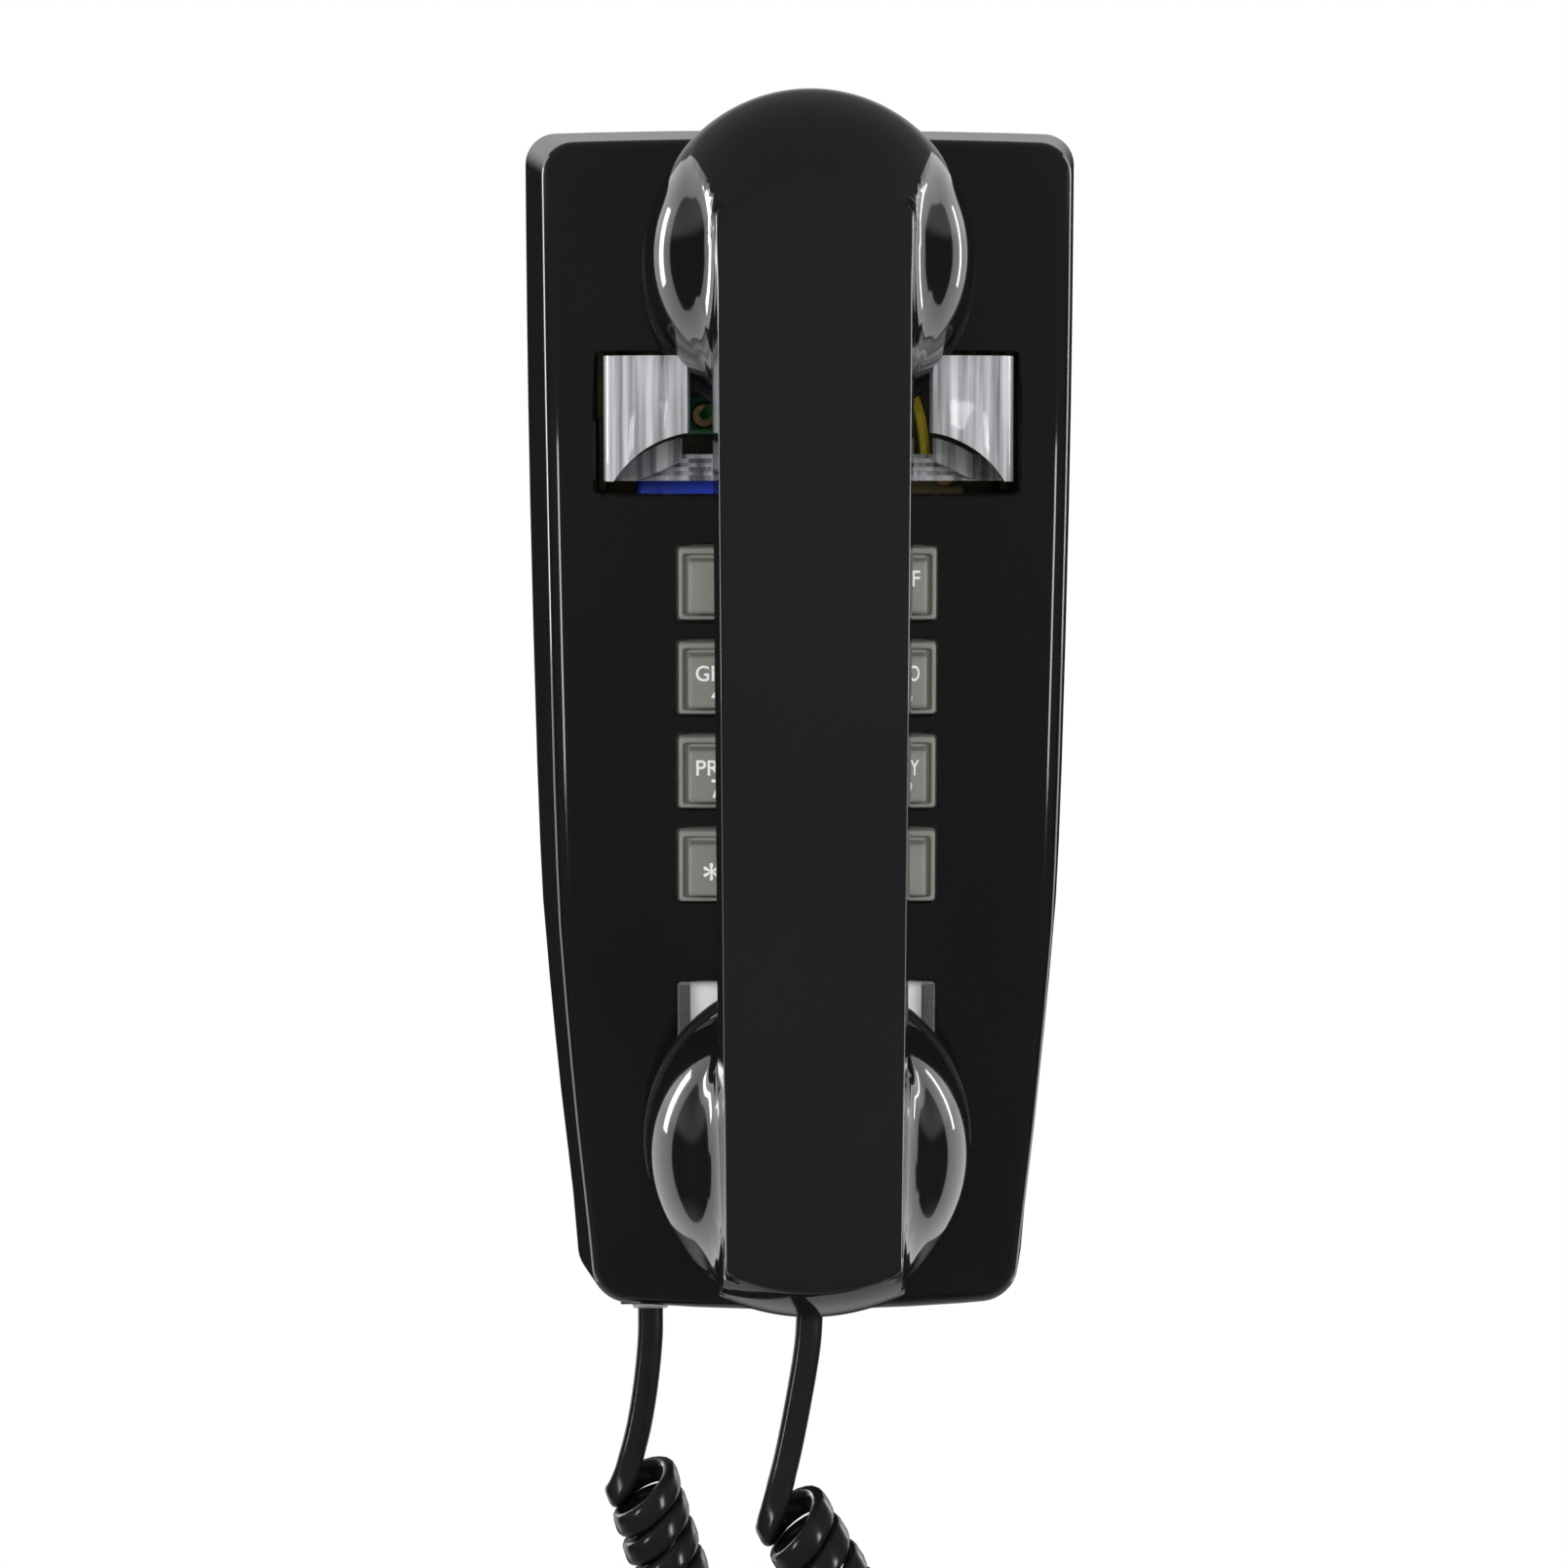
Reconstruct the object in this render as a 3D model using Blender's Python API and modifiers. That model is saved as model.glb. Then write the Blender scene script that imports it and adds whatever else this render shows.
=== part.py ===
"""Wall telephone: a touch-tone set with a hung handset, built as separate named pieces.

Frame: X to the right, Z up, the wall is the plane Y = 0 and the front faces -Y.
The origin is on the rear face of the base plate, at mid-height of the housing.
Lengths below are in millimetres and become metres in the helpers.
"""
import math

import bmesh
import bpy
from mathutils import Matrix, Vector

MM = 0.001
GAP = 0.3  # clearance kept between touching pieces

# ---- housing: (height, half width at the wall, front face Y), bottom to top ----
HOUSING_LEVELS = (
    (-114.1, 44.9, -47.9),
    (-96.0, 46.4, -50.9),
    (-75.0, 48.8, -54.2),
    (-52.0, 51.0, -56.9),
    (-36.0, 52.3, -58.6),
    (-8.0, 53.4, -60.3),
    (44.0, 54.6, -63.5),
    (82.0, 55.1, -62.9),
    (118.6, 55.3, -60.4),
)
DRAFT = 0.0875  # side walls lean in by this much per unit of depth
WALL = 2.4
ARCH_TOP, ARCH_BOTTOM = 0.9, 2.0  # the end walls bow outwards
CORNER_RADIUS, FRONT_RADIUS = 6.0, 3.4
REAR_GAP = 0.5  # the rear rim stays clear of the wall

# ---- keypad ----
KEY_PITCH = 18.0
KEY_TOP_ROW_Z = 30.6
KEY_HALF_W, KEY_HALF_H = 6.4, 6.8
KEY_WINDOW_CLEARANCE = 0.5
KEYPAD_Z = KEY_TOP_ROW_Z - 1.5 * KEY_PITCH
KEYPAD_TILT = math.atan2(63.5 - 58.6, 44.0 + 36.0)
KEYPAD_SCREW_X = 33.0  # the two bosses that the keypad's frame is screwed to
KEY_NAMES = ("1", "2", "3", "4", "5", "6", "7", "8", "9", "star", "0", "pound")

# ---- hook window, card window and cradle ----
HOOK_WINDOW = (-40.0, 40.0, 47.4, 74.2)  # left, right, bottom, top
CARD_Z, CARD_HALF_W, CARD_HALF_H = -54.6, 25.0, 8.6
CARD_TILT = math.atan2(58.6 - 54.2, 75.0 - 36.0)
PRONG_TOP, PRONG_BOTTOM, PRONG_ROOT_TOP = 73.2, 50.0, 61.0
HOOK_PIVOT = (-22.0, 78.0)  # Y, Z
SWITCH_Y, SWITCH_TOP = -35.0, 44.0
BAR_BOTTOM, BAR_TOP = 49.8, 54.8

# ---- handset: cap plane centre (Y, Z), tilt of the cap and cup radius ----
CAP_RADIUS, CAP_THICKNESS = 31.2, 7.0
EAR_FACE, EAR_TILT = (-67.5, 88.6), math.radians(11.0)
MOUTH_FACE, MOUTH_TILT = (-59.5, -74.6), math.radians(-5.0)
CUP_RADIUS, CUP_DEPTH = 30.6, 40.0
CUP_RISE = 5.0  # rim to widest point
PANEL_Y, PANEL_BOW, PANEL_MID_Z = -119.6, 0.0003, 35.0
HANDLE_THICKNESS = 27.0
HANDLE_HALF_TOP, HANDLE_HALF_BOTTOM = 17.3, 15.9
HANDLE_FLARE = 0.09
TOP_END = ((-85.0, 50.2), 61.0)  # sphere that rounds the handle's end: centre (Y, Z), radius
BOTTOM_END = ((-88.0, -56.8), 47.1)
BLEND_REACH = 5.0  # how far the handle and the cups melt into each other
POCKET_RADIUS = 24.3

# ---- ringer ----
GONG_X, GONG_Z = 23.0, -60.0
CLAPPER_Y, CLAPPER_Z = -14.0, -85.0
WHEEL_X, WHEEL_Y, WHEEL_Z, WHEEL_RADIUS = 22.0, -13.5, -106.0, 10.5

# ---- cord ----
LEAD_RADIUS, COIL_RADIUS = 1.7, 7.4
JACK_X, JACK_Y = -30.3, -30.0
HANDSET_JACK_Y = -85.0
LEAD_BASE_ROUTE = (
    (-30.3, -30.0, -114.4), (-30.4, -30.0, -121.0), (-31.3, -30.0, -130.0),
    (-32.7, -30.0, -138.5), (-34.6, -30.0, -146.0),
)
COIL_ROUTE = (
    (-32.3, -30.0, -149.4), (-26.0, -31.0, -168.5), (-16.5, -35.0, -194.0),
    (-3.0, -42.0, -220.0), (13.0, -52.0, -244.0), (33.0, -64.0, -254.0),
    (49.0, -74.0, -240.0), (44.0, -81.0, -216.0), (29.0, -85.0, -193.0),
    (11.5, -85.5, -167.5), (-3.6, -85.0, -143.6),
)
LEAD_HANDSET_ROUTE = (
    (0.0, -85.0, -104.2), (-0.4, -85.0, -111.0), (-1.8, -85.0, -120.0),
    (-3.9, -85.0, -131.0), (-5.9, -85.0, -139.4),
)


# =============================== helpers ===============================

def clear_scene():
    for obj in list(bpy.data.objects):
        bpy.data.objects.remove(obj, do_unlink=True)


def new_collection(name):
    collection = bpy.data.collections.new(name)
    bpy.context.scene.collection.children.link(collection)
    return collection


clear_scene()
PARTS = new_collection("wall_telephone")
CUTTERS = new_collection("cutters")


def metres(point):
    return Vector([value * MM for value in point])


def material(name, colour, roughness, metallic=0.0, alpha=1.0):
    mat = bpy.data.materials.get(name)
    if mat is None:
        mat = bpy.data.materials.new(name)
        mat.use_nodes = True
        shader = mat.node_tree.nodes["Principled BSDF"]
        shader.inputs["Base Color"].default_value = (*colour, 1.0)
        shader.inputs["Roughness"].default_value = roughness
        shader.inputs["Metallic"].default_value = metallic
        shader.inputs["Alpha"].default_value = alpha
    return mat


BLACK = dict(colour=(0.012, 0.012, 0.014), roughness=0.08)
CLEAR = dict(colour=(0.93, 0.94, 0.95), roughness=0.04, alpha=0.35)
KEY_GREY = dict(colour=(0.21, 0.22, 0.19), roughness=0.45)
STEEL = dict(colour=(0.55, 0.55, 0.53), roughness=0.35, metallic=1.0)
BRASS = dict(colour=(0.72, 0.52, 0.22), roughness=0.3, metallic=1.0)
COPPER = dict(colour=(0.72, 0.40, 0.24), roughness=0.35, metallic=1.0)
BOARD_GREEN = dict(colour=(0.03, 0.16, 0.06), roughness=0.5)
DARK_PLASTIC = dict(colour=(0.03, 0.03, 0.032), roughness=0.4)


def add_object(name, mesh, look, smooth_angle=None):
    """A new object with its own material, or a hidden wire cutter where look is None."""
    obj = bpy.data.objects.new(name, mesh)
    if look is None:
        CUTTERS.objects.link(obj)
        obj.hide_render = True
        obj.display_type = "WIRE"
        return obj
    PARTS.objects.link(obj)
    mesh.materials.append(material(name, **look))
    if smooth_angle is not None:
        mesh.shade_smooth()
        mesh.set_sharp_from_angle(angle=math.radians(smooth_angle))
    return obj


def mesh_from(bm, name):
    bmesh.ops.recalc_face_normals(bm, faces=bm.faces)
    mesh = bpy.data.meshes.new(name)
    bm.to_mesh(mesh)
    bm.free()
    return mesh


def box(name, low, high, look=None, bevel=0.0):
    """A box between two corners, in millimetres."""
    low, high = metres(low), metres(high)
    centre = (low + high) / 2
    bm = bmesh.new()
    bmesh.ops.create_cube(bm, size=1.0, matrix=Matrix.Diagonal((*(high - low), 1.0)))
    obj = add_object(name, mesh_from(bm, name), look)
    obj.location = centre
    if bevel:
        add_bevel(obj, bevel, 2)
    return obj


def boxes(name, corners):
    """One cutter made of several separate boxes."""
    bm = bmesh.new()
    for low, high in corners:
        low, high = metres(low), metres(high)
        place = Matrix.Translation((low + high) / 2) @ Matrix.Diagonal((*(high - low), 1.0))
        bmesh.ops.create_cube(bm, size=1.0, matrix=place)
    return add_object(name, mesh_from(bm, name), None)


def add_bevel(obj, width, segments, angle=40.0, by_weight=False):
    bevel = obj.modifiers.new("rounded_edges", "BEVEL")
    bevel.width = width * MM
    bevel.segments = segments
    bevel.limit_method = "WEIGHT" if by_weight else "ANGLE"
    bevel.angle_limit = math.radians(angle)
    bevel.use_clamp_overlap = False


def boolean(obj, other, operation="DIFFERENCE"):
    step = obj.modifiers.new(other.name, "BOOLEAN")
    step.operation = operation
    step.object = other


def aim(obj, at, axis):
    """Puts an object whose own axis is Z at a point, turned to a direction."""
    obj.location = metres(at)
    obj.rotation_mode = "QUATERNION"
    obj.rotation_quaternion = Vector(axis).normalized().to_track_quat("Z", "Y")
    return obj


def cylinder(name, at, axis, radius, length, look=None, sides=24):
    """A cylinder that starts at a point and runs along axis."""
    bm = bmesh.new()
    bmesh.ops.create_cone(
        bm, cap_ends=True, segments=sides, radius1=radius * MM, radius2=radius * MM,
        depth=length * MM, matrix=Matrix.Translation((0, 0, length * MM / 2)),
    )
    smooth = None if look is None else 30
    return aim(add_object(name, mesh_from(bm, name), look, smooth_angle=smooth), at, axis)


def lathe(name, profile, at, axis, look=None, steps=32, closed=False):
    """A turned piece from (radius, height) points that run down its outer side."""
    bm = bmesh.new()
    points = [bm.verts.new((radius * MM, 0.0, height * MM)) for radius, height in profile]
    for first, second in zip(points, points[1:] + points[:1] if closed else points[1:]):
        bm.edges.new((first, second))
    mesh = bpy.data.meshes.new(name)
    bm.to_mesh(mesh)
    bm.free()
    obj = add_object(name, mesh, look)
    screw = obj.modifiers.new("turned", "SCREW")
    screw.axis = "Z"
    screw.steps = screw.render_steps = steps
    screw.use_merge_vertices = True
    screw.merge_threshold = 0.00001
    screw.use_smooth_shade = True
    return aim(obj, at, axis)


def stack(name, rings, look=None, at=(0, 0, 0), axis="Y"):
    """A closed loft of rectangles (half width, half height, depth, shift) along one axis."""
    bm = bmesh.new()
    loops = []
    for half_a, half_b, depth, shift in rings:
        loop = []
        for a, b in ((-1, -1), (1, -1), (1, 1), (-1, 1)):
            flat = (a * half_a, b * half_b + shift)
            point = (flat[0], depth, flat[1]) if axis == "Y" else (flat[0], flat[1], depth)
            loop.append(bm.verts.new(metres(point)))
        loops.append(loop)
    for lower, upper in zip(loops, loops[1:]):
        for i in range(4):
            bm.faces.new((lower[i], lower[(i + 1) % 4], upper[(i + 1) % 4], upper[i]))
    bm.faces.new(loops[0])
    bm.faces.new(reversed(loops[-1]))
    obj = add_object(name, mesh_from(bm, name), look)
    obj.location = metres(at)
    return obj


def smooth_route(points, count):
    """Evenly spaced points on the Catmull-Rom curve through a route's own points."""
    points = [Vector(p) for p in points]
    ends = [2 * points[0] - points[1]] + points + [2 * points[-1] - points[-2]]
    dense = []
    for a, b, c, d in zip(ends, ends[1:], ends[2:], ends[3:]):
        for step in range(24):
            t = step / 24
            dense.append(0.5 * (2 * b + (c - a) * t + (2 * a - 5 * b + 4 * c - d) * t ** 2
                                + (3 * b - a - 3 * c + d) * t ** 3))
    dense.append(points[-1])
    reach = [0.0]
    for a, b in zip(dense, dense[1:]):
        reach.append(reach[-1] + (b - a).length)
    picked, k = [], 0
    for i in range(count):
        want = reach[-1] * i / (count - 1)
        while k < len(reach) - 2 and reach[k + 1] < want:
            k += 1
        share = (want - reach[k]) / max(reach[k + 1] - reach[k], 1e-9)
        picked.append(dense[k].lerp(dense[k + 1], min(share, 1.0)))
    return picked


def tube(name, points, radius, look, resolution=2):
    """A round tube with filled ends along a polyline."""
    curve = bpy.data.curves.new(name, "CURVE")
    curve.dimensions = "3D"
    curve.bevel_depth = radius * MM
    curve.bevel_resolution = resolution
    curve.use_fill_caps = True
    spline = curve.splines.new("POLY")
    spline.points.add(len(points) - 1)
    for place, point in zip(spline.points, points):
        place.co = (*metres(point), 1.0)
    obj = bpy.data.objects.new(name, curve)
    PARTS.objects.link(obj)
    curve.materials.append(material(name, **look))
    return obj


def tube_mesh(name, points, radius, resolution=2):
    """The same tube as a welded mesh, for use as a cutter."""
    source = tube(name + "_curve", points, radius, DARK_PLASTIC, resolution)
    graph = bpy.context.evaluated_depsgraph_get()
    mesh = bpy.data.meshes.new_from_object(source.evaluated_get(graph))
    matrix = source.matrix_world.copy()
    bpy.data.objects.remove(source, do_unlink=True)
    bm = bmesh.new()
    bm.from_mesh(mesh)
    bmesh.ops.remove_doubles(bm, verts=bm.verts, dist=0.00001)
    bmesh.ops.recalc_face_normals(bm, faces=bm.faces)
    bm.to_mesh(mesh)
    bm.free()
    mesh.materials.clear()
    obj = add_object(name, mesh, None)
    obj.matrix_world = matrix
    return obj


def slab(name, outline, low_y, high_y, look):
    """A flat plate: an outline in X and Z, extruded between two Y values."""
    curve = bpy.data.curves.new(name + "_outline", "CURVE")
    curve.dimensions = "2D"
    curve.fill_mode = "BOTH"
    curve.extrude = (high_y - low_y) / 2 * MM
    spline = curve.splines.new("POLY")
    spline.points.add(len(outline) - 1)
    for place, (x, z) in zip(spline.points, outline):
        place.co = (x * MM, z * MM, 0.0, 1.0)
    spline.use_cyclic_u = True
    source = bpy.data.objects.new(name + "_outline", curve)
    PARTS.objects.link(source)
    source.rotation_euler = (math.pi / 2, 0.0, 0.0)
    source.location = (0.0, (low_y + high_y) / 2 * MM, 0.0)
    bpy.context.view_layer.update()
    graph = bpy.context.evaluated_depsgraph_get()
    mesh = bpy.data.meshes.new_from_object(source.evaluated_get(graph))
    matrix = source.matrix_world.copy()
    bpy.data.objects.remove(source, do_unlink=True)
    bm = bmesh.new()
    bm.from_mesh(mesh)
    bmesh.ops.remove_doubles(bm, verts=bm.verts, dist=0.00001)
    bmesh.ops.recalc_face_normals(bm, faces=bm.faces)
    bm.to_mesh(mesh)
    bm.free()
    obj = add_object(name, mesh, look)
    obj.matrix_world = matrix
    return obj


def empty(name, at, tilt=0.0):
    """A joint axis or a plane that pieces are parented to, tilted about X."""
    obj = bpy.data.objects.new(name, None)
    obj.empty_display_size = 0.01
    obj.location = metres(at)
    obj.rotation_euler = (tilt, 0.0, 0.0)
    PARTS.objects.link(obj)
    return obj


def hang_on(parent, *children):
    """Parents pieces that are already placed in the world."""
    bpy.context.view_layer.update()
    for child in children:
        child.parent = parent
        child.matrix_parent_inverse = parent.matrix_world.inverted()


def set_in(parent, *children):
    """Parents pieces whose location is already in the parent's own frame."""
    for child in children:
        child.parent = parent


# =============================== housing ===============================

def level_at(z, column):
    """Half width (column 1) or front Y (column 2) of the housing at a height."""
    for low, high in zip(HOUSING_LEVELS, HOUSING_LEVELS[1:]):
        if z <= high[0]:
            break
    share = (z - low[0]) / (high[0] - low[0])
    return low[column] + (high[column] - low[column]) * share


def housing_point(u, level, depth):
    """A point of the outer surface: u across (-1 to 1), depth 0 at the wall, 1 in front."""
    z, half, front = HOUSING_LEVELS[level]
    y = front * depth - REAR_GAP * (1 - depth)
    lean = DRAFT * abs(y)
    if level == 0:
        z += lean - ARCH_BOTTOM * (1 - u * u)
    if level == len(HOUSING_LEVELS) - 1:
        z += ARCH_TOP * (1 - u * u) - lean
    return metres((u * (half - lean), y, z))


def housing_cage():
    """An open shell: front grid, two side walls and two end walls."""
    bm = bmesh.new()
    verts = {}
    last = len(HOUSING_LEVELS) - 1
    columns = (-1.0, -0.5, 0.0, 0.5, 1.0)

    def vert(u, level, depth):
        key = (u, level, depth)
        if key not in verts:
            verts[key] = bm.verts.new(housing_point(*key))
        return verts[key]

    for level in range(last):
        for a, b in zip(columns, columns[1:]):
            bm.faces.new((vert(a, level, 1), vert(b, level, 1),
                          vert(b, level + 1, 1), vert(a, level + 1, 1)))
        for u in (-1.0, 1.0):
            bm.faces.new((vert(u, level, 0), vert(u, level, 1),
                          vert(u, level + 1, 1), vert(u, level + 1, 0)))
    for level in (0, last):
        for a, b in zip(columns, columns[1:]):
            bm.faces.new((vert(a, level, 0), vert(b, level, 0),
                          vert(b, level, 1), vert(a, level, 1)))
    weights = bm.edges.layers.float.new("bevel_weight_edge")
    for u in (-1.0, 1.0):
        for level in (0, last):
            corner = bm.edges.get((vert(u, level, 0), vert(u, level, 1)))
            corner[weights] = 1.0
    return mesh_from(bm, "housing")


def key_places():
    """(name, x, z) of each key in the keypad plane, left to right and top to bottom."""
    for index, name in enumerate(KEY_NAMES):
        row, column = divmod(index, 3)
        yield name, (column - 1) * KEY_PITCH, (1.5 - row) * KEY_PITCH


def make_housing(keypad_plane, card_plane):
    housing = add_object("housing", housing_cage(), BLACK)
    add_bevel(housing, CORNER_RADIUS, 4, by_weight=True)
    add_bevel(housing, FRONT_RADIUS, 3, angle=40.0)
    shell = housing.modifiers.new("wall", "SOLIDIFY")
    shell.thickness = WALL * MM
    shell.offset = -1.0
    shell.use_even_offset = True

    screws = (-KEYPAD_SCREW_X, KEYPAD_SCREW_X)
    bosses = [cylinder(f"boss_{index}", (x, 1.9, 0), (0, 1, 0), 3.2, 4.6, sides=12)
              for index, x in enumerate(screws)]
    for boss in bosses:
        set_in(keypad_plane, boss)
        boolean(housing, boss, "UNION")
    half_w, half_h = KEY_HALF_W + KEY_WINDOW_CLEARANCE, KEY_HALF_H + KEY_WINDOW_CLEARANCE
    windows = boxes("key_windows", [
        ((x - half_w, -6, z - half_h), (x + half_w, 8, z + half_h)) for _, x, z in key_places()
    ])
    boss_holes = boxes("boss_holes", [((x - 1.5, 3.2, -1.5), (x + 1.5, 9, 1.5)) for x in screws])
    set_in(keypad_plane, windows, boss_holes)
    card = box("card_cut", (-CARD_HALF_W, -8, -CARD_HALF_H), (CARD_HALF_W, 8, CARD_HALF_H))
    set_in(card_plane, card)
    left, right, bottom, top = HOOK_WINDOW
    hook = box("hook_cut", (left, -75, bottom), (right, -50, top))
    floor = boxes("floor_cuts", [
        ((JACK_X - 6.2, JACK_Y - 5.8, -125), (JACK_X + 6.2, JACK_Y + 5.8, -105)),
        ((WHEEL_X - 10.2, -16.2, -125), (WHEEL_X + 10.2, -10.8, -109)),
    ])
    screw_hole = cylinder("screw_hole", (0, -12, -125), (0, 0, 1), 2.1, 15, sides=16)
    for cutter in (windows, boss_holes, card, hook, floor, screw_hole):
        boolean(housing, cutter)


# =============================== keypad ===============================

def make_key(name, x, z):
    window = 2.7
    return stack(f"key_{name}", (
        (2.2, 2.2, 12.0, 0.0), (2.2, 2.2, 4.3, 0.0),
        (KEY_HALF_W + 0.9, KEY_HALF_H + 0.9, 4.3, 0.0),
        (KEY_HALF_W + 0.9, KEY_HALF_H + 0.9, window + 0.2, 0.0),
        (KEY_HALF_W, KEY_HALF_H, window + 0.2, 0.0), (KEY_HALF_W, KEY_HALF_H, -2.2, 0.0),
        (5.5, 5.9, -2.2, -0.2), (5.5, 5.9, -1.5, -0.2),
        (4.7, 5.1, -1.5, -0.3), (4.6, 5.0, -4.6, -0.4), (4.1, 4.5, -5.1, -0.4),
    ), KEY_GREY, at=(x, 0, z))


def make_keypad(plane):
    for name, x, z in key_places():
        set_in(plane, make_key(name, x, z))
    frame = box("keypad_frame", (-29, 7, -39), (29, 19, 39), DARK_PLASTIC)
    tabs = box("frame_tabs", (-37, 7, -6), (37, 9, 6))
    tray = box("frame_tray", (-27.4, 8.6, -37.4), (27.4, 25, 37.4))
    stem_holes = boxes("stem_holes", [
        ((x - 2.7, 4, z - 2.7), (x + 2.7, 12, z + 2.7)) for _, x, z in key_places()
    ])
    screws = (("left", -KEYPAD_SCREW_X), ("right", KEYPAD_SCREW_X))
    tab_holes = boxes("tab_holes", [((x - 1.7, 5, -1.7), (x + 1.7, 12, 1.7)) for _, x in screws])
    frame.location = metres((0, 13, 0))
    boolean(frame, tabs, "UNION")
    for cutter in (tray, stem_holes, tab_holes):
        boolean(frame, cutter)
    mat = box("keypad_mat", (-26.8, 14.5, -36.8), (26.8, 16.0, 36.8),
              dict(colour=(0.45, 0.46, 0.46), roughness=0.7))
    board = box("keypad_board", (-26.8, 16.4, -36.8), (26.8, 18.0, 36.8), BOARD_GREEN)
    set_in(plane, tabs, tray, stem_holes, tab_holes, frame, mat, board)
    for side, x in screws:
        screw = lathe(f"keypad_screw_{side}", ((0, 11.0), (2.8, 11.0), (2.8, 9.3), (1.2, 9.3),
                                              (1.2, 4.2), (0, 4.2)),
                      (x, 0, 0), (0, 1, 0), STEEL, steps=12)
        set_in(plane, screw)


def make_card(plane):
    pane = stack("card_window", (
        (27.2, 10.8, 4.0, 0.0), (27.2, 10.8, 2.9, 0.0), (24.6, 8.2, 2.9, 0.0),
        (24.6, 8.2, -0.1, 0.0), (22.5, 7.9, -0.9, 0.0),
    ), CLEAR)
    card = box("number_card", (-25, 4.4, -9), (25, 4.9, 9),
               dict(colour=(0.82, 0.82, 0.83), roughness=0.6))
    set_in(plane, pane, card)


# =============================== base and internals ===============================

def make_base_plate():
    inset = WALL + 0.8
    heights = (-105.0, -75.0, -36.0, 0.0, 44.0, 108.0)
    right = [(level_at(z, 1) - inset, z) for z in heights]
    right = [(36.0, -110.4)] + right + [(47.0, 115.4)]
    outline = right + [(-x, z) for x, z in reversed(right)]
    plate = slab("base_plate", outline, -1.5, 0.0, STEEL)
    tab = box("base_tab", (-7, -20, -109.4), (7, -0.7, -107.9))
    boolean(plate, tab, "UNION")
    posts = [(x, z, 2.5, 7.7) for x in (-38, 38) for z in (-24, 38)]
    posts += [(x, GONG_Z, 3.2, 21.3) for x in (-GONG_X, GONG_X)] + [(WHEEL_X, WHEEL_Z, 2.0, 16.4)]
    for index, (x, z, radius, reach) in enumerate(posts):
        post = cylinder(f"post_{index}", (x, -0.7, z), (0, -1, 0), radius, reach - 0.7, sides=12)
        boolean(plate, post, "UNION")
    cuts = boxes("base_cuts", [
        ((-7.6, -5, -21.6), (7.6, 2, -9.4)),
        ((-2.2, -5, 35.3), (2.2, 2, 41.0)),
        ((-2.2, -5, -63.2), (2.2, 2, -57.5)),
    ])
    boolean(plate, cuts)
    for name, z in (("upper", 33.3), ("lower", -65.2)):
        boolean(plate, cylinder(f"keyhole_{name}", (0, 2, z), (0, -1, 0), 4.3, 7, sides=16))
    for side, x in (("left", -GONG_X), ("right", GONG_X)):
        hole = cylinder(f"post_hole_{side}", (x, -12, GONG_Z), (0, -1, 0), 2.0, 15, sides=12)
        boolean(plate, hole)
    boolean(plate, cylinder("tab_hole", (0, -12, -120), (0, 0, 1), 1.6, 15, sides=12))
    lathe("housing_screw", ((0, 0), (3.4, 0), (3.6, -0.6), (3.2, -2.0), (1.3, -2.0),
                            (1.3, -10.4), (0, -10.4)),
          (0, -12, -117.4), (0, 0, -1), STEEL, steps=16)


def make_electronics():
    box("main_board", (-42, -9.6, -28), (42, -8.0, 42), BOARD_GREEN)
    box("speech_network", (-32.5, -41.0, 29.5), (-8.5, -10.2, 53.4),
        dict(colour=(0.01, 0.03, 0.30), roughness=0.4), bevel=0.8)
    strip = box("terminal_strip", (-24, -28, 58.4), (15, -16, 66.0),
                dict(colour=(0.10, 0.22, 0.10), roughness=0.5), bevel=0.4)
    notches = boxes("strip_notches", [
        ((x - 2.9, -30, 59.4), (x + 2.9, -25.3, 65.0)) for x in (-19.5, -12, -4.5, 3, 10.5)
    ])
    boolean(strip, notches)
    for name, at in (("left", (-19.5, -25.2, 62.2)), ("right", (27.0, -40.0, 51.0))):
        lathe(f"terminal_screw_{name}",
              ((0, 2.2), (2.2, 2.2), (2.5, 1.6), (2.5, 0.4), (0, 0.4)),
              at, (0, -1, 0), BRASS if name == "left" else COPPER, steps=16)
    box("terminal_plate", (18.0, -39.6, 30.0), (31.0, -10.2, 54.0),
        dict(colour=(0.16, 0.13, 0.05), roughness=0.5), bevel=0.5)
    tube("wire_yellow", smooth_route(((23.4, -41.2, 52.6), (23.0, -42.0, 58.0), (21.5, -39.5, 65.0),
                                      (18.0, -32.0, 70.0), (9.0, -22.0, 71.0)), 12),
         1.0, dict(colour=(0.65, 0.50, 0.03), roughness=0.4), 1)
    tube("wire_green", smooth_route(((-19.5, -28.4, 62.2), (-17.0, -33.0, 64.5),
                                     (-12.0, -33.0, 68.0), (-4.0, -24.0, 71.5)), 10),
         1.0, dict(colour=(0.05, 0.30, 0.08), roughness=0.4), 1)
    stack("line_jack", ((6.9, 5.6, 0.0, 0.0), (6.9, 5.6, -2.0, 0.0), (6.9, 5.6, -7.4, 0.0)),
          DARK_PLASTIC, at=(0, 0, -15.5))


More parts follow.
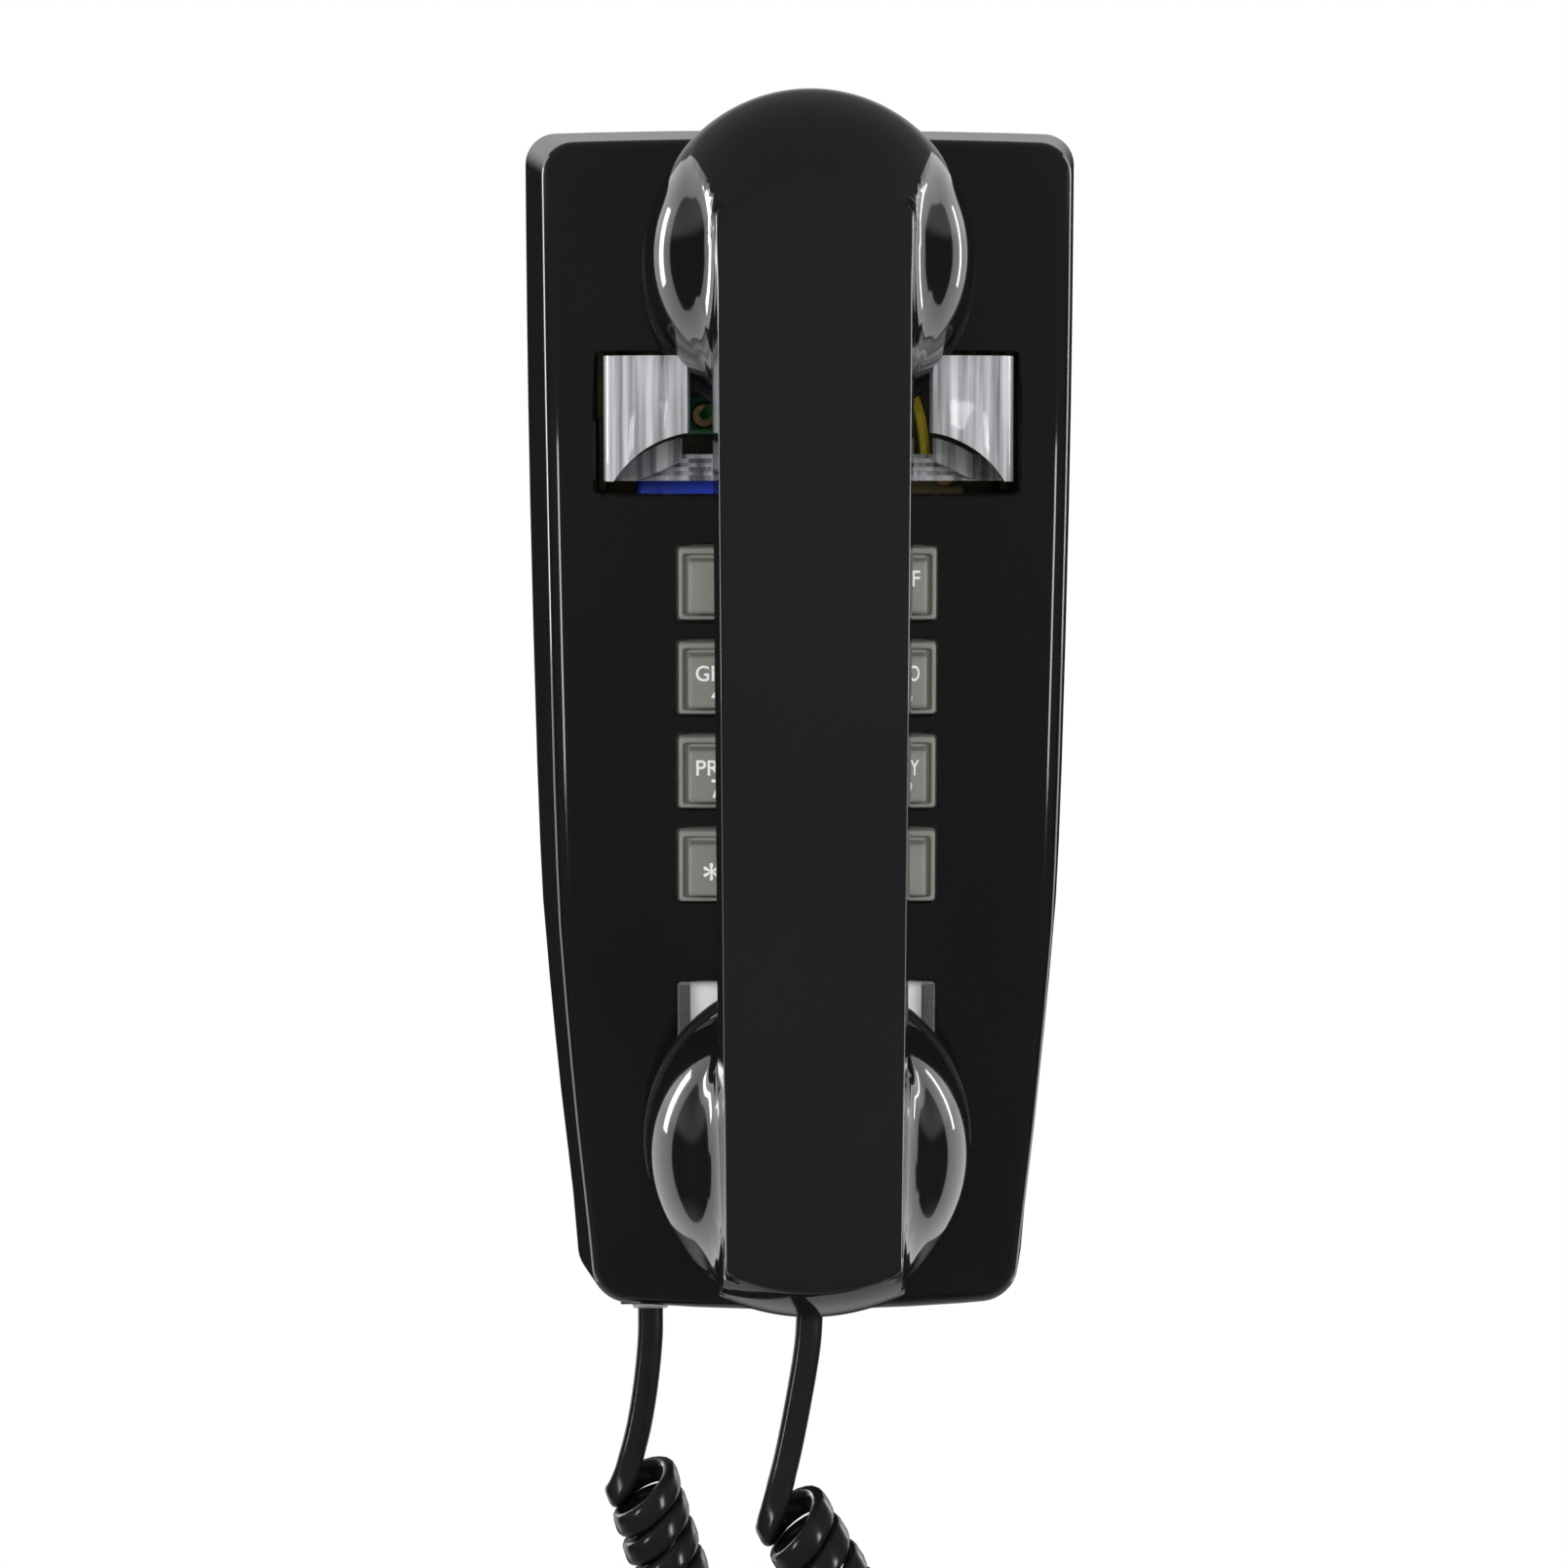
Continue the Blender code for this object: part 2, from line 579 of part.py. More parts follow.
def make_hook_bracket():
    pivot_y, pivot_z = HOOK_PIVOT
    outer, inner = 40.0, 38.6
    bracket = box("hook_bracket", (-outer, -46, 47.8), (outer, -1.9, 84.0), STEEL)
    boolean(bracket, box("bracket_hollow", (-inner, -60, 40), (inner, -3.4, 90)))
    boolean(bracket, box("bracket_relief", (-60, -60, 40), (60, -30, 62)))
    holes = cylinder("pivot_holes", (-50, pivot_y, pivot_z), (1, 0, 0), 2.1, 100, sides=16)
    boolean(bracket, holes)
    cylinder("hook_pin", (-42.5, pivot_y, pivot_z), (1, 0, 0), 1.7, 85, STEEL, sides=16)
    turns, points = 5, []
    for step in range(turns * 10 + 1):
        turn = 2 * math.pi * step / 10
        points.append((14 + 1.9 * step / 10, pivot_y + 3.2 * math.cos(turn),
                       pivot_z + 3.2 * math.sin(turn)))
    tube("hook_spring", points, 0.6, STEEL, 1)
    body = box("hook_switch", (-7, SWITCH_Y - 6, SWITCH_TOP - 16), (7, SWITCH_Y + 6, SWITCH_TOP),
               DARK_PLASTIC, bevel=0.5)
    boolean(body, cylinder("plunger_bore", (0, SWITCH_Y, 36), (0, 0, 1), 2.0, 12, sides=16))
    axis = empty("plunger_axis", (0, SWITCH_Y, SWITCH_TOP))
    plunger = lathe("switch_plunger", ((0, 5.2), (0.9, 5.2), (1.6, 4.4), (1.6, -5.6), (0, -5.6)),
                    (0, SWITCH_Y, SWITCH_TOP), (0, 0, 1),
                    dict(colour=(0.7, 0.7, 0.68), roughness=0.5), steps=12)
    hang_on(axis, plunger)


def make_ringer():
    gong = ((2.4, 0.6), (2.4, -0.6), (12.0, -0.6), (15.6, -2.2), (17.3, -5.4), (17.3, -9.6),
            (18.5, -9.6), (18.5, -5.0), (16.4, -1.2), (12.6, 0.6))
    for side, x in (("left", -GONG_X), ("right", GONG_X)):
        lathe(f"gong_{side}", tuple(reversed(gong)), (x, -22.4, GONG_Z), (0, -1, 0),
              BRASS, steps=24, closed=True)
        lathe(f"gong_screw_{side}", ((0, 3.2), (3.4, 3.2), (3.9, 2.6), (3.9, 1.0), (1.6, 1.0),
                                     (1.6, -6.0), (0, -6.0)),
              (x, -22.4, GONG_Z), (0, -1, 0), STEEL, steps=12)
    frame = box("ringer_frame", (-20.8, -25, -106.5), (8.8, -1.9, -80.5), STEEL)
    boolean(frame, box("frame_hollow", (-19.4, -40, -120), (7.4, -3.3, -70)))
    boolean(frame, box("frame_relief", (-40, -40, -90), (20, -3.31, -70)))
    boolean(frame, cylinder("clapper_post", (0, -2.6, CLAPPER_Z), (0, -1, 0), 1.3, 15.9, sides=12),
            "UNION")
    lathe("ringer_coil", ((0, 13.0), (7.0, 13.0), (7.0, 11.6), (6.2, 11.6),
                          (6.2, -11.6), (7.0, -11.6), (7.0, -13.0), (0, -13.0)),
          (-6, CLAPPER_Y, -98.2), (1, 0, 0), COPPER, steps=20)
    hub = lathe("clapper", tuple(reversed(((1.7, 3.0), (1.7, -3.0), (3.4, -3.0), (3.4, 3.0)))),
                (0, CLAPPER_Y, CLAPPER_Z), (0, -1, 0), STEEL, steps=16, closed=True)
    rod = cylinder("clapper_rod", (0, CLAPPER_Y, CLAPPER_Z + 2.4), (0, 0, 1), 0.9, 22.0, sides=10)
    arc = [(2.6 * math.sin(math.pi * i / 8), 2.6 * math.cos(math.pi * i / 8)) for i in range(1, 8)]
    ball = lathe("clapper_ball", [(0, 2.6)] + arc + [(0, -2.6)], (0, CLAPPER_Y, GONG_Z), (0, 0, 1),
                 steps=12)
    boolean(hub, rod, "UNION")
    boolean(hub, ball, "UNION")
    hang_on(empty("clapper_axis", (0, CLAPPER_Y, CLAPPER_Z)), hub)
    wheel = lathe("volume_wheel", tuple(reversed((
        (2.4, 1.6), (2.4, -1.6), (9.6, -1.6), (WHEEL_RADIUS, -0.9), (WHEEL_RADIUS, 0.9), (9.6, 1.6)))),
        (WHEEL_X, WHEEL_Y, WHEEL_Z), (0, -1, 0), DARK_PLASTIC, steps=28, closed=True)
    hang_on(empty("wheel_axis", (WHEEL_X, WHEEL_Y, WHEEL_Z)), wheel)


def make_jacks():
    jack = stack("cord_jack", (
        (7.2, 7.0, -96.5, 0), (7.2, 7.0, -107.6, 0), (5.8, 5.4, -107.6, 0), (5.8, 5.4, -112.8, 0),
    ), DARK_PLASTIC, at=(JACK_X, JACK_Y, 0), axis="Z")
    pocket = box("jack_pocket", (JACK_X - 4.3, JACK_Y - 3.8, -125),
                 (JACK_X + 4.3, JACK_Y + 3.8, -101))
    boolean(jack, pocket)
    make_plug("cord_plug_base", (JACK_X, JACK_Y, -101.5), 12.6)


def make_plug(name, at, length):
    """A modular plug whose nose is at the point and whose cord leaves downwards."""
    clear = dict(colour=(0.75, 0.77, 0.78), roughness=0.1, alpha=0.5)
    return stack(name, (
        (3.3, 2.9, 0, 0), (3.9, 3.3, -1.2, 0), (3.9, 3.3, -length + 2.0, 0), (3.3, 2.6, -length, 0),
    ), clear, at=at, axis="Z")


# =============================== cradle ===============================

def plan_strip(name, points, thickness, bottom, top):
    """A strip seen from above: a path in X and Y, thickened and extruded in Z; used in unions."""
    bm = bmesh.new()
    sides = []
    for index, point in enumerate(points):
        before = Vector(points[max(index - 1, 0)])
        after = Vector(points[min(index + 1, len(points) - 1)])
        across = (after - before).normalized().orthogonal() * thickness / 2
        sides.append((Vector(point) + across, Vector(point) - across))
    rings = []
    for left, right in sides:
        corners = ((left, bottom), (right, bottom), (right, top), (left, top))
        rings.append([bm.verts.new(metres((p.x, p.y, z))) for p, z in corners])
    for a, b in zip(rings, rings[1:]):
        for i in range(4):
            bm.faces.new((a[i], a[(i + 1) % 4], b[(i + 1) % 4], b[i]))
    bm.faces.new(rings[0])
    bm.faces.new(reversed(rings[-1]))
    return add_object(name, mesh_from(bm, name), None)


def prong_path(side):
    """Plan of one prong: out of the window, round a bend and in towards the handle."""
    points = [(-36.6, -53.0), (-36.9, -60.0), (-37.0, -66.0)]
    bend_x, bend_y, radius = -28.2, -72.0, 8.8
    points += [(bend_x - radius * math.cos(a), bend_y - radius * math.sin(a))
               for a in (math.radians(d) for d in range(0, 71, 14))]
    points += [(-27.0, -82.4), (-22.4, -83.6)]
    return [(-side * x, y) for x, y in points]


def make_cradle():
    cradle = box("hook_cradle", (-36, -58.5, BAR_BOTTOM), (36, -52.0, BAR_TOP), CLEAR)
    for side, name in ((-1, "left"), (1, "right")):
        prong = plan_strip(f"prong_{name}", prong_path(side), 2.6, PRONG_BOTTOM - 0.1, PRONG_TOP)
        scoop = cylinder(f"scoop_{name}", (side * 19.5, -95, 39.2), (0, 1, 0), 20.0, 30.5, sides=48)
        headroom = box(f"headroom_{name}", (min(side * 45, side * 30), -64.2, PRONG_ROOT_TOP),
                       (max(side * 45, side * 30), -40, 90))
        boolean(prong, scoop)
        boolean(prong, headroom)
        boolean(cradle, prong, "UNION")
        arm_low, arm_high = sorted((side * 36.4, side * 33.6))
        pivot_y, pivot_z = HOOK_PIVOT
        arm = arm_slab(f"arm_{name}", arm_low, arm_high, (
            (-57.5, BAR_BOTTOM + 0.4), (-50.0, BAR_BOTTOM + 0.4), (pivot_y + 4.2, pivot_z - 3.0),
            (pivot_y + 4.2, pivot_z + 4.0), (pivot_y - 4.0, pivot_z + 4.0), (-57.5, BAR_TOP + 3.0)))
        boolean(cradle, arm, "UNION")
    boolean(cradle, box("cradle_tab", (-5, -53, BAR_BOTTOM + 0.3), (5, -31, BAR_BOTTOM + 2.4)), "UNION")
    boolean(cradle, cylinder("cradle_bore", (-45, *HOOK_PIVOT), (1, 0, 0), 2.1, 90, sides=16))
    rest_centre = rim_centre(EAR_FACE, EAR_TILT)
    boolean(cradle, cylinder("cup_rest", rest_centre, outward(EAR_TILT), CUP_RADIUS, 20, sides=64))
    hang_on(empty("hook_axis", (0, *HOOK_PIVOT)), cradle)


def arm_slab(name, low_x, high_x, outline):
    """A flat lever: an outline in Y and Z between two X values."""
    bm = bmesh.new()
    ends = [[bm.verts.new(metres((x, y, z))) for y, z in outline] for x in (low_x, high_x)]
    count = len(outline)
    for i in range(count):
        bm.faces.new((ends[0][i], ends[0][(i + 1) % count], ends[1][(i + 1) % count], ends[1][i]))
    bm.faces.new(ends[0])
    bm.faces.new(reversed(ends[1]))
    return add_object(name, mesh_from(bm, name), None)


# =============================== handset ===============================

def outward(tilt):
    """The direction from a cap's face to the back of its cup."""
    return Vector((0.0, -math.cos(tilt), math.sin(tilt)))


def rim_centre(face, tilt):
    """The centre of the plane where a cup's shell ends and its cap begins."""
    return Vector((0.0, *face)) + outward(tilt) * (CAP_THICKNESS + GAP)


def cup_distance(point, face, tilt):
    """Roughly the distance to one cup: an ellipsoid of revolution about the cap's axis."""
    axis = outward(tilt)
    offset = point - (rim_centre(face, tilt) + axis * CUP_RISE)
    along = offset.dot(axis)
    across = math.sqrt(max(offset.length_squared - along * along, 0.0))
    depth = CUP_DEPTH if along > 0 else CUP_DEPTH * 1.3
    return (math.hypot(across / CUP_RADIUS, along / depth) - 1.0) * CUP_RADIUS


def panel_y(z):
    return PANEL_Y + PANEL_BOW * (z - PANEL_MID_Z) ** 2


def handle_distance(point):
    """The handle: a bar that flares towards the wall, with rounded inner edges and ends."""
    outer = panel_y(point.z)
    share = min(max((point.z + 95) / 195, 0.0), 1.0)
    half = HANDLE_HALF_BOTTOM + (HANDLE_HALF_TOP - HANDLE_HALF_BOTTOM) * share
    depth = point.y - outer
    corner = 9.0
    across = abs(point.x) - HANDLE_FLARE * min(depth, 12.0) - half + corner
    inward = depth - HANDLE_THICKNESS + corner
    bar = math.hypot(max(across, 0.0), max(inward, 0.0)) + min(max(across, inward), 0.0) - corner
    (top_y, top_z), top_radius = TOP_END
    (bottom_y, bottom_z), bottom_radius = BOTTOM_END
    top = (point - Vector((0.0, top_y, min(point.z, top_z)))).length - top_radius
    bottom = (point - Vector((0.0, bottom_y, max(point.z, bottom_z)))).length - bottom_radius
    return max(bar, top, bottom)


def smooth_min(a, b, reach):
    share = max(reach - abs(a - b), 0.0) / reach
    return min(a, b) - share * share * reach / 4


def handset_distance(point):
    ear = cup_distance(point, EAR_FACE, EAR_TILT)
    mouth = cup_distance(point, MOUTH_FACE, MOUTH_TILT)
    body = smooth_min(handle_distance(point), min(ear, mouth), BLEND_REACH)
    return max(body, panel_y(point.z) - point.y)


def crossing(start, direction, reach):
    """How far from an inner start point the surface is, by bisection."""
    low, high = 0.0, reach
    for _ in range(34):
        middle = (low + high) / 2
        if handset_distance(start + direction * middle) < 0:
            low = middle
        else:
            high = middle
    return low


def handset_planes(ear_steps, handle_steps, mouth_steps):
    """(pivot, direction) of each section: a fan, the handle, and a second fan."""
    ear_rim, mouth_rim = rim_centre(EAR_FACE, EAR_TILT), rim_centre(MOUTH_FACE, MOUTH_TILT)
    ear_up = Vector((0.0, math.sin(EAR_TILT), math.cos(EAR_TILT)))
    mouth_down = Vector((0.0, -math.sin(MOUTH_TILT), -math.cos(MOUTH_TILT)))
    ear_pivot, mouth_pivot = ear_rim - ear_up * 34.0, mouth_rim - mouth_down * 34.0
    planes = []
    for i in range(ear_steps):
        turn = (math.pi / 2 + EAR_TILT) * i / ear_steps
        planes.append((ear_pivot, Matrix.Rotation(turn, 3, "X") @ ear_up))
    for i in range(handle_steps + 1):
        planes.append((ear_pivot.lerp(mouth_pivot, i / handle_steps), Vector((0.0, -1.0, 0.0))))
    for i in range(mouth_steps - 1, -1, -1):
        turn = (math.pi / 2 - MOUTH_TILT) * i / mouth_steps
        planes.append((mouth_pivot, Matrix.Rotation(-turn, 3, "X") @ mouth_down))
    return planes


def handset_section(pivot, direction, sides):
    """The outline of the handset in one plane that holds the X axis and a direction."""
    inside = min((handset_distance(pivot + direction * step), step) for step in range(4, 66, 2))[1]
    near = inside - crossing(pivot + direction * inside, -direction, 60.0)
    far = inside + crossing(pivot + direction * inside, direction, 60.0)
    centre = pivot + direction * (near + far) / 2
    ring = []
    for i in range(sides):
        angle = 2 * math.pi * (i + 0.5) / sides
        ray = Vector((math.cos(angle), 0.0, 0.0)) + direction * math.sin(angle)
        ring.append(centre + ray * crossing(centre, ray, 60.0))
    return ring


def handset_mesh(name, sides, ear_steps, handle_steps, mouth_steps):
    bm = bmesh.new()
    rings = [[bm.verts.new(metres(point)) for point in handset_section(pivot, direction, sides)]
             for pivot, direction in handset_planes(ear_steps, handle_steps, mouth_steps)]
    for a, b in zip(rings, rings[1:]):
        for i in range(sides):
            bm.faces.new((a[i], a[(i + 1) % sides], b[(i + 1) % sides], b[i]))
    bm.faces.new(rings[0])
    bm.faces.new(reversed(rings[-1]))
    return mesh_from(bm, name)


def make_cap(name, face, tilt, holes):
    """A screw cap: a rim, a slightly dished face with holes, open towards the cup."""
    centre = Vector((0.0, *face))
    inner = CAP_RADIUS - 2.6
    cap = lathe(name, (
        (0, 1.6), (16, 1.0), (26, 0.2), (28.6, 0.5), (CAP_RADIUS, 2.2), (CAP_RADIUS, 6.2),
        (CAP_RADIUS - 0.8, CAP_THICKNESS), (inner, CAP_THICKNESS), (inner, 3.4), (0, 3.6),
    )[::-1], centre, outward(tilt), BLACK, steps=40)
    for index, (radius, turn) in enumerate(holes):
        rise = math.sin(turn)
        along = Vector((math.cos(turn), math.sin(tilt) * rise, math.cos(tilt) * rise))
        start = centre + along * radius - outward(tilt) * 3
        boolean(cap, cylinder(f"{name}_hole_{index}", start, outward(tilt), 1.3, 9, sides=8))
    return cap


def make_handset(axis):
    shell = add_object("handset_shell", handset_mesh("handset_shell", 24, 7, 8, 7), BLACK,
                       smooth_angle=35)
    ear_rim, mouth_rim = rim_centre(EAR_FACE, EAR_TILT), rim_centre(MOUTH_FACE, MOUTH_TILT)
    ear_out, mouth_out = outward(EAR_TILT), outward(MOUTH_TILT)
    boolean(shell, cylinder("ear_pocket", ear_rim - ear_out * 3, ear_out, POCKET_RADIUS, 25, sides=32))
    boolean(shell, cylinder("mouth_pocket", mouth_rim - mouth_out * 3, mouth_out, POCKET_RADIUS, 21,
                            sides=32))
    channel = ((0, -88, 86), (0, -104, 66), (0, -105.5, 10), (0, -103.5, -48), (0, -80, -70))
    boolean(shell, tube_mesh("wire_channel", channel, 9.0, resolution=1))
    boolean(shell, box("jack_socket", (-6.2, HANDSET_JACK_Y - 5.4, -112),
                       (6.2, HANDSET_JACK_Y + 5.4, -87.5)))
    ring = [(12.0, math.pi * k / 3) for k in range(6)]
    ear_cap = make_cap("ear_cap", EAR_FACE, EAR_TILT, [(0.0, 0.0)] + ring)
    mouth_cap = make_cap("mouth_cap", MOUTH_FACE, MOUTH_TILT, ring)
    receiver = lathe("receiver_unit", ((0, 13), (8, 13), (9, 9), (21, 9), (22.6, 7), (22.6, 0.6),
                                       (20, 0), (0, 0)),
                     ear_rim - ear_out * 2.6, ear_out,
                     dict(colour=(0.30, 0.30, 0.31), roughness=0.4), steps=28)
    transmitter = lathe("transmitter_unit", ((0, 5.6), (21, 5.6), (22, 4.6), (22, 0.6), (20, 0),
                                             (0, 0)),
                        mouth_rim - mouth_out * 2.6, mouth_out, STEEL, steps=28)
    cup = lathe("transmitter_cup", ((0, 6.2), (23.4, 6.2), (23.4, 3.4), (0, 3.4)),
                mouth_rim, mouth_out, DARK_PLASTIC, steps=28)
    jack = stack("handset_jack", ((5.9, 5.1, -88.0, 0), (5.9, 5.1, -103.2, 0)), DARK_PLASTIC,
                 at=(0, HANDSET_JACK_Y, 0), axis="Z")
    boolean(jack, box("handset_pocket", (-4.3, HANDSET_JACK_Y - 3.8, -112),
                      (4.3, HANDSET_JACK_Y + 3.8, -91.2)))
    plug = make_plug("cord_plug_handset", (0, HANDSET_JACK_Y, -91.7), 12.2)
    wires = tube("handset_wires", smooth_route(((0, -92.0, 84.0), (0, -101.0, 70.0), (0, -105.0, 40.0),
                                                (0, -105.5, 0.0), (0, -104.0, -46.0), (0, -94, -58.0),
                                                (0, -87.0, -64.0)), 22),
                 1.6, dict(colour=(0.3, 0.05, 0.05), roughness=0.5), 1)
    hang_on(axis, shell, ear_cap, mouth_cap, receiver, transmitter, cup, jack, plug, wires)


# =============================== cord ===============================

def make_cord():
    tube("cord_lead_base", smooth_route(LEAD_BASE_ROUTE, 12), LEAD_RADIUS, DARK_PLASTIC)
    tube("cord_coil", smooth_route(COIL_ROUTE, 44), COIL_RADIUS, DARK_PLASTIC)
    tube("cord_lead_handset", smooth_route(LEAD_HANDSET_ROUTE, 12), LEAD_RADIUS, DARK_PLASTIC)


def main():
    keypad_plane = empty("keypad_plane", (0, level_at(KEYPAD_Z, 2), KEYPAD_Z), KEYPAD_TILT)
    card_plane = empty("card_plane", (0, level_at(CARD_Z, 2), CARD_Z), CARD_TILT)
    make_housing(keypad_plane, card_plane)
    make_keypad(keypad_plane)
    make_card(card_plane)
    make_base_plate()
    make_electronics()
    make_hook_bracket()
    make_ringer()
    make_jacks()
    make_cradle()
    make_handset(empty("handset_lift_axis", (0, -90, 0)))
    make_cord()


main()
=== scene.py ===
"""Looks of the wall telephone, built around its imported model.

Frame: X right, Z up, the wall is Y = 0 and the front faces -Y. Lengths are in
millimetres and become metres where a mesh is made.
"""

import math

import bmesh
import bpy
import numpy as np
from mathutils import Matrix, Vector


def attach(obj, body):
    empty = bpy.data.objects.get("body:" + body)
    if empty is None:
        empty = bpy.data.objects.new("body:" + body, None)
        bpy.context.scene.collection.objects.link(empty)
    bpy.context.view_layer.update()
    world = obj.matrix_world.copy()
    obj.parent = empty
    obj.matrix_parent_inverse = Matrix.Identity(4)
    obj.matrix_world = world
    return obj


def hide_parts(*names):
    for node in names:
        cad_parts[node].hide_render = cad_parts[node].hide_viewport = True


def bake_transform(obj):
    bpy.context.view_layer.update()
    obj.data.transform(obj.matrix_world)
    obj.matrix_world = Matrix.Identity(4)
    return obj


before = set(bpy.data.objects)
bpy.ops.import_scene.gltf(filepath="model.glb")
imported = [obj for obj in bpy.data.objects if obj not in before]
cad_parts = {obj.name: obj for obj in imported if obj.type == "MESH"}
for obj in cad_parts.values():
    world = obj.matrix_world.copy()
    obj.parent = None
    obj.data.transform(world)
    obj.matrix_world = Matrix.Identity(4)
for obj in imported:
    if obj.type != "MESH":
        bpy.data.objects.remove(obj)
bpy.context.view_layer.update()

MM = 0.001

# ---- housing: (height, half width at the wall, front face Y), bottom to top ----
HOUSING_LEVELS = (
    (-114.1, 44.9, -47.9),
    (-96.0, 46.4, -50.9),
    (-75.0, 48.8, -54.2),
    (-52.0, 51.0, -56.9),
    (-36.0, 52.3, -58.6),
    (-8.0, 53.4, -60.3),
    (44.0, 54.6, -63.5),
    (82.0, 55.1, -62.9),
    (118.6, 55.3, -60.4),
)
LEVEL_GAP = 20.0  # wider gaps get one more level
DRAFT = 0.0875  # how far the side walls lean in for each millimetre of depth
WALL = 2.4
ARCH_TOP, ARCH_BOTTOM = 0.9, 2.0
CORNER_RADIUS, FRONT_RADIUS = 6.0, 3.4
REAR_GAP = 0.5
WINDOW_CHAMFER = 1.4

# ---- keypad ----
KEY_PITCH = 18.0
KEY_HALF_W, KEY_HALF_H = 6.4, 6.8
KEY_CLEARANCE = 0.5
KEYPAD_Z = 30.6 - 1.5 * KEY_PITCH
KEYPAD_LEVELS = (4, 6)  # the housing's levels above and below the keypad
KEYS = (
    ("1", "1", ""), ("2", "2", "ABC"), ("3", "3", "DEF"),
    ("4", "4", "GHI"), ("5", "5", "JKL"), ("6", "6", "MNO"),
    ("7", "7", "PRS"), ("8", "8", "TUV"), ("9", "9", "WXY"),
    ("star", "*", ""), ("0", "0", "OPER"), ("pound", "#", ""),
)
KEY_LIP = (KEY_HALF_W + 0.9, KEY_HALF_H + 0.9, 0.8)
KEY_BODY = (KEY_HALF_W, KEY_HALF_H, 0.7)
KEY_PROFILE = (  # half width, half height, corner radius, depth, shift; from the stem to the top
    (2.2, 2.2, 0.5, 12.0, 0.0), (2.2, 2.2, 0.5, 4.3, 0.0),
    (*KEY_LIP, 4.3, 0.0), (*KEY_LIP, 2.9, 0.0),
    (*KEY_BODY, 2.9, 0.0), (*KEY_BODY, -1.8, 0.0),
    (KEY_HALF_W - 0.1, KEY_HALF_H - 0.1, 0.65, -2.05, 0.0),
    (KEY_HALF_W - 0.35, KEY_HALF_H - 0.35, 0.6, -2.2, 0.0),
    (5.6, 5.95, 0.6, -2.2, -0.15), (5.45, 5.8, 0.6, -1.9, -0.2),
    (5.4, 5.75, 0.6, -1.0, -0.2), (4.75, 5.15, 0.6, -1.0, -0.3),
    (4.62, 5.02, 0.6, -4.3, -0.4), (4.5, 4.9, 0.6, -4.75, -0.4),
    (4.2, 4.6, 0.6, -5.0, -0.4), (3.9, 4.3, 0.5, -5.1, -0.4),
)
LEGEND_DEPTH = -5.08
LETTERS_HEIGHT, LETTERS_WIDTH, LETTERS_Z = 3.0, 6.3, 1.3
DIGIT_WIDTH, STAR_WIDTH = 2.0, 3.4
DIGIT_PLACE = (3.6, 0.8, -0.4)  # height, X and Z on the key's top
DIGIT_UNDER_LETTERS = (3.6, 0.8, -2.7)
SIGN_PLACES = {"*": (3.4, -0.25, -0.6), "#": (3.0, 0.3, -0.4)}

# ---- hook window, card window and cradle ----
HOOK_WINDOW = (-40.0, 40.0, 47.4, 74.2)
CARD_Z, CARD_HALF_W, CARD_HALF_H = -54.6, 25.0, 8.6
CARD_LEVELS = (2, 4)  # the housing's levels above and below the card
PRONG_TOP, PRONG_BOTTOM, PRONG_ROOT_TOP = 73.2, 50.0, 61.0
HOOK_PIVOT = (-22.0, 78.0)
BAR_BOTTOM, BAR_TOP = 49.8, 54.8
BAR_GROOVES = ((50.8, -57.3), (52.4, -56.6), (54.0, -55.8))  # the height and the depth of each
GROOVE_HEIGHT = 0.8
PRONG_THICKNESS, BRACE_THICKNESS = 2.6, 1.5
PRONG_BEND, PRONG_BEND_RADIUS = (-28.2, -72.0), 8.8
BRACE_PATH = ((32.5, -57.0), (31.0, -59.0), (29.0, -61.0), (26.6, -62.8), (24.0, -64.0))
BRACE_BOTTOMS = (49.9, 50.1, 51.0, 52.2, 53.6)
BRACE_TOPS = (54.0, 54.8, 56.0, 57.1, 57.9)

# ---- handset ----
CAP_RADIUS, CAP_THICKNESS, CAP_GAP = 31.2, 7.0, 0.3
EAR_FACE, EAR_TILT = (-67.5, 88.6), math.radians(11.0)
MOUTH_FACE, MOUTH_TILT = (-59.5, -74.6), math.radians(-5.0)
CUP_RADIUS, CUP_DEPTH, CUP_RISE = 30.6, 40.0, 5.0
CUP_REAR_STRETCH = 1.3
PANEL_Y, PANEL_BOW, PANEL_MID_Z = -119.6, 0.0003, 35.0
PANEL_EDGE = 0.9
HANDLE_THICKNESS, HANDLE_CORNER = 27.0, 9.0
HANDLE_HALF_TOP, HANDLE_HALF_BOTTOM = 17.3, 15.9
HANDLE_TAPER_FROM, HANDLE_TAPER_HEIGHT = 95, 195  # from 95 below the origin
HANDLE_FLARE, FLARE_DEPTH = 0.09, 12.0
TOP_END = ((-85.0, 50.2), 61.0)
BOTTOM_END = ((-88.0, -56.8), 47.1)
BLEND_REACH = 5.0
SECTION_PIVOT = 34.0  # how far from a rim's middle its outlines turn about one line
SECTION_REACH = 60.0  # no outline reaches further than this from its middle
POCKET_RADIUS = 24.3
HANDSET_JACK_Y = -85.0
HOLE_RADIUS, HOLE_RING, HOLE_TURN = 1.3, 12.0, 0.013

